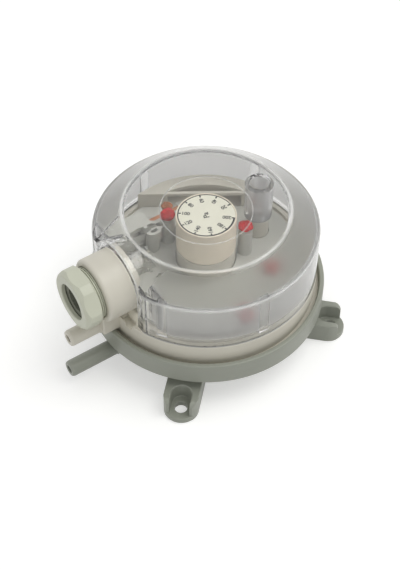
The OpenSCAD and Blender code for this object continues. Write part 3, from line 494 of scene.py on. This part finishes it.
def solid(shape, place):
    """A temporary object, with its faces turned outwards."""
    bmesh.ops.recalc_face_normals(shape, faces=shape.faces)
    shape.transform(place)
    mesh = bpy.data.meshes.new("shape")
    shape.to_mesh(mesh)
    shape.free()
    made = bpy.data.objects.new("shape", mesh)
    SCENE.collection.objects.link(made)
    return made


def lathe(profile, place=HERE, segments=192):
    """A solid of revolution. A profile that stays off the axis closes on itself."""
    shape = bmesh.new()
    rings = []
    for r, z in profile:
        count = segments if r > 0 else 1
        rings.append([
            shape.verts.new((r * math.cos(a), r * math.sin(a), z))
            for a in (2 * math.pi * i / segments for i in range(count))
        ])
    if len(rings[0]) > 1:
        rings.append(rings[0])
    for low, high in zip(rings, rings[1:]):
        for i in range(segments):
            k = i + 1
            corners = (
                low[i % len(low)], low[k % len(low)], high[k % len(high)], high[i % len(high)],
            )
            face = list(dict.fromkeys(corners))
            if len(face) > 2:
                shape.faces.new(face)
    return solid(shape, place)


def rod(r, z0, z1, place=HERE, segments=96):
    return lathe([(0, z0), (r, z0), (r, z1), (0, z1)], place, segments)


def tube(in_r, out_r, z0, z1, segments=192):
    return lathe([(in_r, z0), (out_r, z0), (out_r, z1), (in_r, z1)], segments=segments)


def bore(r, low, top, chamfer, place=HERE, segments=96):
    """A cut for a round hole that ends at low, and opens at the top with a chamfer."""
    lift = 0.2
    wide = r + chamfer + lift
    return lathe([
        (0, low), (r, low), (r, top - chamfer), (wide, top + lift),
        (wide, top + OVER), (0, top + OVER),
    ], place, segments)


def stack(outline, levels, place=HERE):
    """A solid with one convex outline, given anticlockwise, drawn in by an amount at each height."""
    shape = bmesh.new()
    count = len(outline)
    rings = []
    for z, inset in levels:
        ring = []
        for i, point in enumerate(outline):
            before = (point - outline[i - 1]).normalized()
            after = (outline[(i + 1) % count] - point).normalized()
            inward = Vector((-before.y - after.y, before.x + after.x)) / (1 + before.dot(after))
            ring.append(shape.verts.new((point + inward * inset).to_3d() + Vector((0, 0, z))))
        rings.append(ring)
    for low, high in zip(rings, rings[1:]):
        for i in range(count):
            k = (i + 1) % count
            shape.faces.new((low[i], low[k], high[k], high[i]))
    shape.faces.new(reversed(rings[0]))
    shape.faces.new(rings[-1])
    return solid(shape, place)


def box(low, high, place=HERE):
    (x0, y0, z0), (x1, y1, z1) = low, high
    outline = [Vector(corner) for corner in ((x0, y0), (x1, y0), (x1, y1), (x0, y1))]
    return stack(outline, [(z0, 0), (z1, 0)], place)


def change(base, operation, *others):
    """Joins, cuts or clips a solid by the others, which are used up."""
    for other in others:
        step = base.modifiers.new("step", "BOOLEAN")
        step.operation = operation
        step.object = other
        step.solver = "MANIFOLD"
    graph = bpy.context.evaluated_depsgraph_get()
    mesh = bpy.data.meshes.new_from_object(base.evaluated_get(graph))
    base.modifiers.clear()
    base.data = mesh
    for other in others:
        bpy.data.objects.remove(other)
    return base


def join(base, *others):
    return change(base, "UNION", *others)


def cut(base, *others):
    return change(base, "DIFFERENCE", *others)


def clip(base, other):
    return change(base, "INTERSECT", other)


def smooth(mesh, angle):
    """Smooth shading, broken where two faces meet at more than the angle."""
    shape = bmesh.new()
    shape.from_mesh(mesh)
    bmesh.ops.remove_doubles(shape, verts=shape.verts, dist=0.001 * MM)
    for edge in shape.edges:
        edge.smooth = edge.is_manifold and edge.calc_face_angle(0) < math.radians(angle)
    for face in shape.faces:
        face.smooth = True
    shape.to_mesh(mesh)
    shape.free()


def present(piece, name, material, body, replaced=None, angle=30):
    """Names and finishes a piece that was made in millimetres, and hangs it on its body."""
    piece.name = name
    piece.data.name = name
    piece.data.transform(Matrix.Scale(MM, 4))
    piece.data.materials.clear()
    piece.data.materials.append(material)
    smooth(piece.data, angle)
    normals = piece.modifiers.new("flat faces stay flat", "WEIGHTED_NORMAL")
    normals.keep_sharp = True
    if replaced:
        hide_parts(replaced)
    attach(piece, body)


def present_node(piece, name):
    """A piece that stands for the node of this name."""
    present(piece, name + "_finished", NODE_MATERIALS[name], BODIES[name], name)


def hose_port(back_y, root_y, end_y, z):
    return lathe(rounded(
        (0, back_y), (PORT_ROOT_R, back_y), (PORT_ROOT_R, root_y, 0.15), (PORT_R, root_y, 0.12),
        (PORT_R, end_y - PORT_TIP_L, 0.4), (PORT_R - PORT_TIP_D, end_y, 0.25), (0, end_y),
    ), portward(z), segments=64)


def port_bore(back_y, end_y, z):
    return bore(PORT_BORE_R, back_y, end_y, 0.2, portward(z), segments=48)


def lug(azimuth):
    outline = arc(LUG_HALF_W, (LUG_ROUND_X, 0), -90, 90, segments=32)
    outline += [Vector((FOOT_R, LUG_HALF_W)), Vector((FOOT_R, -LUG_HALF_W))]
    side = rounded(
        (FOOT_R, 0), (LUG_WALL_X, 0), (LUG_WALL_X, LUG_WALL_H, LUG_CORNER_R),
        (FOOT_R, LUG_WALL_H), steps=8,
    )
    walls = stack(
        side, soft(-LUG_HALF_W, LUG_HALF_W, low=0.6, high=0.6), turned(azimuth) @ UPRIGHT,
    )
    walls = clip(walls, stack(outline, soft(-OVER, LUG_WALL_H + OVER), turned(azimuth)))
    return join(walls, stack(outline, soft(0, FLOOR_T, low=0.2, high=0.4), turned(azimuth)))


def lug_pocket(azimuth):
    chamfer = 0.35
    open_x = LUG_WALL_X + 6
    outline = arc(LUG_POCKET_R, (LUG_POCKET_X, 0), 90, 270, segments=24)
    outline += [Vector((open_x, -LUG_POCKET_R)), Vector((open_x, LUG_POCKET_R))]
    levels = soft(FLOOR_T, LUG_WALL_H - chamfer, low=0.4) + [(LUG_WALL_H + OVER, -chamfer - OVER)]
    return stack(outline, levels, turned(azimuth))


def lug_hole(azimuth):
    place = turned(azimuth) @ at(LUG_HOLE_X)
    return bore(LUG_HOLE_R, -OVER, FLOOR_T, 0.25, place, segments=64)


def lower_housing():
    chamfer, lift = 0.25, 0.15
    open_r = RIM_IN_R + chamfer + lift
    piece = lathe(rounded(
        (0, 0), (FOOT_R, 0, 0.5), (FOOT_R + FOOT_BEVEL, FOOT_BEVEL, 0.5), (DISH_R, RIM_LOW, 1.0),
        (RIM_R, RIM_LOW, 0.5), (RIM_R, RIM_TOP, 0.55), (0, RIM_TOP),
    ))
    port = hose_port(FOOT_R, LOWER_ROOT_Y, LOWER_PORT_Y, LOWER_PORT_Z)
    piece = join(piece, *[lug(a) for a in LUG_AZIMUTHS], port)
    inside = lathe(rounded(
        (0, FLOOR_T), (FOOT_R - FLOOR_T, FLOOR_T, 1.5), (LEDGE_IN_R, LEDGE_Z, 0.5),
        (RIM_IN_R, LEDGE_Z, 0.3), (RIM_IN_R, SNAP_LOW), (RIM_IN_R - SNAP_D, SNAP_Z, 0.1),
        (RIM_IN_R, SNAP_TOP), (RIM_IN_R, RIM_TOP - chamfer), (open_r, RIM_TOP + lift),
        (open_r, RIM_TOP + OVER), (0, RIM_TOP + OVER),
    ))
    notch = box(
        (-NOTCH_HALF_W, -RIM_R - OVER, UPPER_PORT_Z - PORT_R - NOTCH_GAP),
        (NOTCH_HALF_W, -RIM_IN_R + OVER, RIM_TOP + OVER),
    )
    cut(piece, inside, port_bore(FOOT_R - FLOOR_T - OVER, LOWER_PORT_Y, LOWER_PORT_Z), notch)
    cut(piece, *[lug_pocket(a) for a in LUG_AZIMUTHS], *[lug_hole(a) for a in LUG_AZIMUTHS])
    present_node(piece, "lower_housing")


def segment(d, r, levels):
    """The part of a disc that lies further from the axis than d, on the partition's side."""
    half = math.degrees(math.acos(d / r))
    return stack(arc(r, (0, 0), -half, half, segments=64), levels, turned(SEGMENT_AZ))


def platform():
    """The block behind the dial, with a curved channel in its top and a pocket under its shelf."""
    block = segment(SEGMENT_X, SEGMENT_R, soft(DECK_Z - OVER, SEGMENT_TOP, high=0.3))
    channel = segment(
        SEGMENT_X + PARTITION_T, CHANNEL_R, soft(CHANNEL_LOW, SEGMENT_TOP + OVER),
    )
    pocket = box(
        (SEGMENT_X - OVER, -POCKET_HALF_W, DECK_Z),
        (SEGMENT_X + POCKET_D, POCKET_HALF_W, SEGMENT_TOP - SHELF_T), turned(SEGMENT_AZ),
    )
    return cut(block, channel, pocket)


def tower():
    made = lathe(rounded(
        (0, DECK_Z - OVER), (TOWER_BASE_R, DECK_Z - OVER), (TOWER_BASE_R, TOWER_BASE_TOP, 0.2),
        (TOWER_R, TOWER_BASE_TOP), (TOWER_R, TOWER_TOP, 0.3), (0, TOWER_TOP),
    ), segments=160)
    groove = tube(TOWER_R - GROOVE_D, TOWER_R + OVER, GROOVE_LOW, GROOVE_TOP, segments=96)
    window = box(
        (-TOWER_BASE_R - OVER, -WINDOW_HALF_W, WINDOW_LOW), (0, WINDOW_HALF_W, WINDOW_TOP),
    )
    keyways = box(
        (-KEYWAY_R, -KEYWAY_HALF_W, KEYWAY_LOW), (KEYWAY_R, KEYWAY_HALF_W, TOWER_TOP + OVER),
    )
    return cut(made, groove, rod(TOWER_BORE_R, DECK_Z, TOWER_TOP + OVER), window, keyways)


def upper_housing():
    piece = lathe(rounded(
        (0, CLAMP_Z), (FLANGE_R, CLAMP_Z), (FLANGE_R, FLANGE_TOP),
        *[(BAND_R - inset, z) for inset, z in BAND_TAPER], (BAND_R, DECK_Z, 0.25), (0, DECK_Z),
    ))
    neck = rounded(
        (-NECK_HALF_W, -NECK_FRONT_Y, 0.6), (NECK_HALF_W, -NECK_FRONT_Y, 0.6),
        (NECK_HALF_W, -NECK_BACK_Y), (-NECK_HALF_W, -NECK_BACK_Y),
    )
    boss = lathe(rounded(
        (0, BOSS_BACK_Y), (BOSS_R, BOSS_BACK_Y, 0.3), (BOSS_R, BOSS_Y, 1.4), (0, BOSS_Y), steps=6,
    ), portward(GLAND_Z), segments=160)
    port = hose_port(UPPER_IN_R, UPPER_ROOT_Y, UPPER_PORT_Y, UPPER_PORT_Z)
    piece = join(piece, boss, stack(neck, soft(NECK_LOW, GLAND_Z, low=0.5)), port)
    piece = cut(piece, lathe(rounded(
        (0, CLAMP_Z - OVER), (UPPER_IN_R, CLAMP_Z - OVER), (UPPER_IN_R, DECK_LOW, 0.6),
        (0, DECK_LOW),
    )))

    lip = lathe(rounded(
        (LIP_IN_R, DECK_Z - OVER), (LIP_R, DECK_Z - OVER), (LIP_R, LIP_TOP, 0.2),
        (LIP_IN_R, LIP_TOP, 0.2),
    ))
    lip = cut(lip, box(
        (-HOOD_R - OVER, -BAND_R, DECK_Z - OVER / 2), (HOOD_R + OVER, -1, LIP_TOP + OVER),
    ))
    post = lathe(rounded(
        (0, DECK_Z - OVER), (POST_R, DECK_Z - OVER), (POST_R, POST_TOP, 0.2), (0, POST_TOP),
    ), at(y=POST_Y), segments=64)
    studs = [
        rod(STUD_R, DECK_LOW - STUD_H, DECK_LOW + OVER, at(x, y), segments=48)
        for x, y in CARRIER_SCREWS
    ]
    piece = join(piece, tower(), platform(), lip, post, *studs)

    bead = tube(BEAD_IN_R, BEAD_R, CLAMP_Z - OVER, BEAD_TOP)
    boss_bore = bore(
        BOSS_BORE_R, BOSS_BACK_Y - OVER, BOSS_Y, 0.3, portward(GLAND_Z), segments=128,
    )
    recess = box(
        (RECESS_X[0], -RECESS_Y[1], RECESS_LOW), (RECESS_X[1], -RECESS_Y[0], DECK_Z + OVER),
    )
    stem_hole = rod(STEM_HOLE_R, DECK_LOW - OVER, DECK_Z + OVER)
    screw_hole = rod(
        SCREW_HOLE_R, POST_TOP - SCREW_HOLE_D, POST_TOP + OVER, at(y=POST_Y), segments=48,
    )
    pilots = [
        rod(PILOT_R, DECK_LOW - PILOT_D, DECK_Z + OVER, at(x, y), segments=32)
        for x, y in CARRIER_SCREWS
    ]
    cut(piece, bead, boss_bore, recess, port_bore(UPPER_IN_R - OVER, UPPER_PORT_Y, UPPER_PORT_Z),
        stem_hole, screw_hole, *pilots)
    present_node(piece, "upper_housing")


def cover():
    far, high = RIM_R + 10, COVER_TOP + 10
    inner_top = COVER_TOP - COVER_T
    piece = lathe(rounded(
        (0, DECK_Z), (BAND_R, DECK_Z, 0.3), (BAND_R, SHOULDER_Z, 1.0),
        (COVER_TOP_R, COVER_TOP, 1.6), (0, COVER_TOP), steps=6,
    ), segments=256)
    hood = lathe(rounded(
        (0, HOOD_BACK_Y), (HOOD_R, HOOD_BACK_Y), (HOOD_R, FRONT_Y, 0.5), (0, FRONT_Y),
    ), portward(GLAND_Z), segments=160)
    legs = rounded(
        (-HOOD_R, -FRONT_Y, 0.5), (HOOD_R, -FRONT_Y, 0.5),
        (HOOD_R, -HOOD_BACK_Y), (-HOOD_R, -HOOD_BACK_Y),
    )
    piece = cut(piece, box((-far, -far, 0), (far, -FRONT_Y, high)))
    piece = join(piece, hood, stack(legs, soft(DECK_Z, GLAND_Z)))

    lean = (BAND_R - COVER_TOP_R) / (COVER_TOP - SHOULDER_Z)
    hollow = lathe(rounded(
        (0, DECK_Z - OVER), (BAND_R - COVER_T, DECK_Z - OVER),
        (BAND_R - COVER_T, SHOULDER_Z - lean / 2, 0.6), (COVER_TOP_R - COVER_T / 2, inner_top, 0.6),
        (0, inner_top),
    ), segments=256)
    hollow = cut(hollow, box((-far, -far, 0), (far, COVER_T - FRONT_Y, high)))
    hood_bore = rod(
        HOOD_BORE_R, HOOD_BACK_Y - OVER, FRONT_Y + OVER, portward(GLAND_Z), segments=160,
    )
    gate = box(
        (-HOOD_BORE_R, -FRONT_Y - OVER, DECK_Z - OVER), (HOOD_BORE_R, OVER - HOOD_BACK_Y, GLAND_Z),
    )
    piece = cut(piece, hollow, hood_bore, gate)

    ribs = [
        box((BAND_R - COVER_T - RIB_D, -RIB_HALF_W, RIB_LOW),
            (BAND_R - COVER_T / 2, RIB_HALF_W, RIB_TOP), turned(azimuth))
        for azimuth in RIB_AZIMUTHS
    ]
    near_x, far_x = PLATE_X
    plates = [
        box((x0, -PLATE_Y - PLATE_T / 2, PLATE_LOW), (x1, -PLATE_Y + PLATE_T / 2, SHOULDER_Z))
        for x0, x1 in ((-far_x, -near_x), (near_x, far_x))
    ]
    well = rod(WELL_R, WELL_LOW, COVER_TOP, at(y=POST_Y))
    piece = join(piece, well, *ribs, *plates)

    well_bore = bore(WELL_BORE_R, WELL_SEAT, COVER_TOP, 0.4, at(y=POST_Y))
    screw_hole = rod(
        SCREW_HOLE_R, WELL_LOW - OVER, WELL_SEAT + OVER, at(y=POST_Y), segments=48,
    )
    mark = tube(
        RING_MARK_R, RING_MARK_R + RING_MARK_W, inner_top - OVER, inner_top + RING_MARK_D,
        segments=128,
    )
    cut(piece, well_bore, screw_hole, mark)
    present_node(piece, "cover")


def gland_nut():
    corner_r = NUT_FLATS / 2 / math.cos(math.radians(30))
    turns = [math.radians(a) for a in range(0, 360, 60)]
    corners = [(corner_r * math.cos(a), corner_r * math.sin(a), 0.8) for a in turns]
    piece = stack(rounded(*corners), soft(NUT_BACK_Y, NUT_FRONT_Y), portward(GLAND_Z))
    turned_blank = lathe(rounded(
        (0, NUT_BACK_Y), (NUT_CORNER_R - NUT_CHAMFER, NUT_BACK_Y),
        (NUT_CORNER_R, NUT_BACK_Y + NUT_CHAMFER), (NUT_CORNER_R, NUT_FRONT_Y - NUT_BEVEL, 0.4),
        (NUT_FACE_R, NUT_FRONT_Y, 0.5), (0, NUT_FRONT_Y),
    ), portward(GLAND_Z), segments=160)
    piece = clip(piece, turned_blank)
    chamfer, lift = 0.3, 0.2
    open_r = NUT_HOLE_R + chamfer + lift
    cut(piece, lathe([
        (0, NUT_BACK_Y - OVER), (NUT_THREAD_R, NUT_BACK_Y - OVER), (NUT_THREAD_R, NUT_SEAT_Y),
        (NUT_HOLE_R, NUT_SEAT_Y), (NUT_HOLE_R, NUT_FRONT_Y - chamfer),
        (open_r, NUT_FRONT_Y + lift), (open_r, NUT_FRONT_Y + OVER), (0, NUT_FRONT_Y + OVER),
    ], portward(GLAND_Z), segments=128))
    present_node(piece, "gland_nut")


def dial_knob():
    bead_r = KNOB_IN_R - KNOB_BEAD_D
    plate_r = KNOB_R - SCALE_RIM_T
    piece = lathe(rounded(
        (0, KNOB_ROOM_TOP), (KNOB_IN_R, KNOB_ROOM_TOP), (KNOB_IN_R, KNOB_BEAD_TOP),
        (bead_r, KNOB_BEAD_TOP), (bead_r, KNOB_BEAD_LOW), (KNOB_IN_R, KNOB_BEAD_LOW),
        (KNOB_IN_R, KNOB_LOW), (KNOB_R, KNOB_LOW, 0.3), (KNOB_R, KNOB_TOP, 0.2),
        (plate_r, KNOB_TOP, 0.1), (plate_r, SCALE_LOW), (0, SCALE_LOW),
    ), segments=160)
    present_node(join(piece, rod(SPINDLE_R, SPINDLE_LOW, SPINDLE_TOP)), "dial_knob")


def text_shape(words, height, place):
    """Flat letters, centred on their own origin."""
    letters = bpy.data.curves.new("letters", "FONT")
    letters.body = words
    letters.size = height
    letters.align_x = "CENTER"
    letters.align_y = "CENTER"
    letters.extrude = PRINT_T / 2
    letters.offset = LETTER_SPREAD
    letters.resolution_u = 3
    made = bpy.data.objects.new("letters", letters)
    SCENE.collection.objects.link(made)
    graph = bpy.context.evaluated_depsgraph_get()
    mesh = bpy.data.meshes.new_from_object(made.evaluated_get(graph))
    bpy.data.objects.remove(made)
    mesh.transform(place)
    return mesh


def dial_print():
    print_top = SCALE_TOP + PRINT_T
    print_middle = SCALE_TOP + PRINT_T / 2
    sweep = LAST_MARK - FIRST_MARK
    parts = []
    for i in range(MARKS):
        place = turned(FIRST_MARK + sweep * i / (MARKS - 1))
        mark = box(
            (MARK_IN_R, -MARK_HALF_W, SCALE_TOP), (EDGE_R, MARK_HALF_W, print_top), place,
        )
        parts.append(mark.data)
        bpy.data.objects.remove(mark)
        inward = place @ at(NUMBER_R, 0, print_middle) @ turned(180)
        parts.append(text_shape(str(MARK_STEP * (i + 1)), NUMBER_SIZE, inward))
    parts.append(text_shape(UNIT, UNIT_SIZE, turned(UNIT_AZ) @ at(z=print_middle)))

    shape = bmesh.new()
    slices = []
    for i in range(EDGE_STEPS + 1):
        azimuth = math.radians(FIRST_MARK + sweep * i / EDGE_STEPS)
        in_r = EDGE_R - (THIN_EDGE + (WIDE_EDGE - THIN_EDGE) * i / EDGE_STEPS)
        out = Vector((math.cos(azimuth), math.sin(azimuth), 0))
        slices.append([
            shape.verts.new(out * r + Vector((0, 0, z)))
            for r, z in (
                (in_r, SCALE_TOP), (EDGE_R, SCALE_TOP), (EDGE_R, print_top), (in_r, print_top),
            )
        ])
    for here, there in zip(slices, slices[1:]):
        for k in range(4):
            shape.faces.new((here[k], here[k - 3], there[k - 3], there[k]))
    shape.faces.new(slices[0])
    shape.faces.new(slices[-1])
    for mesh in parts:
        shape.from_mesh(mesh)
    present(solid(shape, HERE), "dial_print", INK, BODIES["dial_scale"])


def lacquer_drop(name, place, r, height, material, seed):
    """An uneven drop of lacquer over a screw's head, flattened below. The brown drop has no screw
    under it and is a painted reflection of the left red seal.
    """
    lump, lump_scale, ripple, ripple_scale, flat_z = 0.16, 1.7, 0.05, 5, -0.35
    shape = bmesh.new()
    bmesh.ops.create_icosphere(shape, subdivisions=5, radius=1)
    for vert in shape.verts:
        x, y, z = vert.co
        swell = 1 + lump * noise.noise(vert.co * lump_scale + Vector((seed, 0, 0)))
        swell += ripple * noise.noise(vert.co * ripple_scale)
        vert.co = Vector((x * r * swell, y * r * swell, max(z, flat_z) * height * swell))
    piece = solid(shape, at(*place))
    present(piece, name, material, "housing", angle=60)


def carrier():
    """The carrier's own solid, with its edges rounded."""
    piece = frame["nodes"]["switch_carrier"]
    shape = bmesh.new()
    shape.from_mesh(piece.data)
    bmesh.ops.remove_doubles(shape, verts=shape.verts, dist=0.002 * MM)
    bmesh.ops.dissolve_limit(
        shape, angle_limit=math.radians(0.3), verts=shape.verts, edges=shape.edges,
    )
    made = solid(shape, Matrix.Scale(1 / MM, 4))
    edges = made.modifiers.new("rounded edges", "BEVEL")
    edges.width = 0.15
    edges.segments = 2
    edges.limit_method = "ANGLE"
    edges.angle_limit = math.radians(35)
    present_node(change(made, "UNION"), "switch_carrier")


lower_housing()
upper_housing()
cover()
gland_nut()
dial_knob()
dial_print()
carrier()
for name, place, r, height, material, seed in (
    ("left_seal", (*CALIBRATION_SCREWS[1], CALIBRATION_SEAL_Z), 2.75, 1.5, RED, 3),
    ("right_seal", (*CALIBRATION_SCREWS[0], CALIBRATION_SEAL_Z), 2.6, 1.2, RED, 11),
    # Painted reflection: this brown drop stands in for a reflection of the left red seal and covers
    # no screw
    ("seal_reflection_drop", (-17.8, -4.6, 41.9), 2.0, 1.2, SEAL_REFLECTION, 7),
    ("front_seal", (*CARRIER_SCREWS[0], CARRIER_SEAL_Z), 3.0, 1.3, RED, 21),
    ("back_seal", (*CARRIER_SCREWS[1], CARRIER_SEAL_Z), 2.9, 1.2, RED, 34),
):
    lacquer_drop(name, place, r, height, material, seed)


# Floor, light and camera, in metres

FLOOR_R, FLOOR_Z = 4, -0.05 * MM
FLOOR_COLOUR, FLOOR_GLOW = (0.72, 0.72, 0.71, 1), 0.42
WORLD_LIGHT, WORLD_SEEN = 0.66, 1.0
LAMP_AT, LAMP_SIZE, LAMP_WATTS, LAMP_COLOUR = (0.25, 0.35, 1.0), 0.8, 4.3, (1, 1, 0.98)


def shows_background(mat):
    """1 for rays that show what is behind the object: from the camera, off gloss or through glass."""
    path = node(mat, "ShaderNodeLightPath").outputs
    return largest(mat, path["Is Camera Ray"], path["Is Glossy Ray"], path["Is Transmission Ray"])


world = bpy.data.worlds.new("studio")
world.use_nodes = True
SCENE.world = world
background = world.node_tree.nodes["Background"]
background.inputs["Color"].default_value = (1, 1, 1, 1)
world_strength = ramp(world, shows_background(world), 0, 1, WORLD_LIGHT, WORLD_SEEN)
link(world, world_strength, background.inputs["Strength"])

floor_mat, floor_shader = plain_material(
    "pale_floor", Roughness=0.9, Specular_IOR_Level=0.0, Base_Color=FLOOR_COLOUR,
    Emission_Color=(1, 1, 1, 1),
)
glow = product(floor_mat, shows_background(floor_mat), FLOOR_GLOW)
link(floor_mat, glow, floor_shader.inputs["Emission Strength"])
floor_shape = bmesh.new()
bmesh.ops.create_circle(floor_shape, cap_ends=True, segments=96, radius=FLOOR_R)
floor = solid(floor_shape, at(z=FLOOR_Z))
floor.name = "floor"
floor.data.materials.append(floor_mat)

lamp_data = bpy.data.lights.new("overhead", "AREA")
lamp_data.shape = "DISK"
lamp_data.size = LAMP_SIZE
lamp_data.energy = LAMP_WATTS
lamp_data.color = LAMP_COLOUR
lamp = bpy.data.objects.new("overhead", lamp_data)
lamp.location = LAMP_AT
lamp.rotation_euler = Vector(LAMP_AT).to_track_quat("Z", "Y").to_euler()
SCENE.collection.objects.link(lamp)

lens = bpy.data.cameras.new("camera")
lens.sensor_width = SENSOR_MM
lens.lens = SENSOR_MM * FOCAL_PX / max(PHOTO_W, PHOTO_H)
lens.clip_start = 0.01
camera = bpy.data.objects.new("camera", lens)
camera.matrix_world = (
    Matrix.Translation(CAMERA_AT)
    @ Matrix.Rotation(math.radians(CAMERA_TURN), 4, "Z")
    @ Matrix.Rotation(math.radians(CAMERA_TILT), 4, "X")
    @ Matrix.Rotation(math.radians(CAMERA_ROLL), 4, "Z")
)
SCENE.collection.objects.link(camera)
SCENE.camera = camera
SCENE.view_settings.view_transform = "Standard"
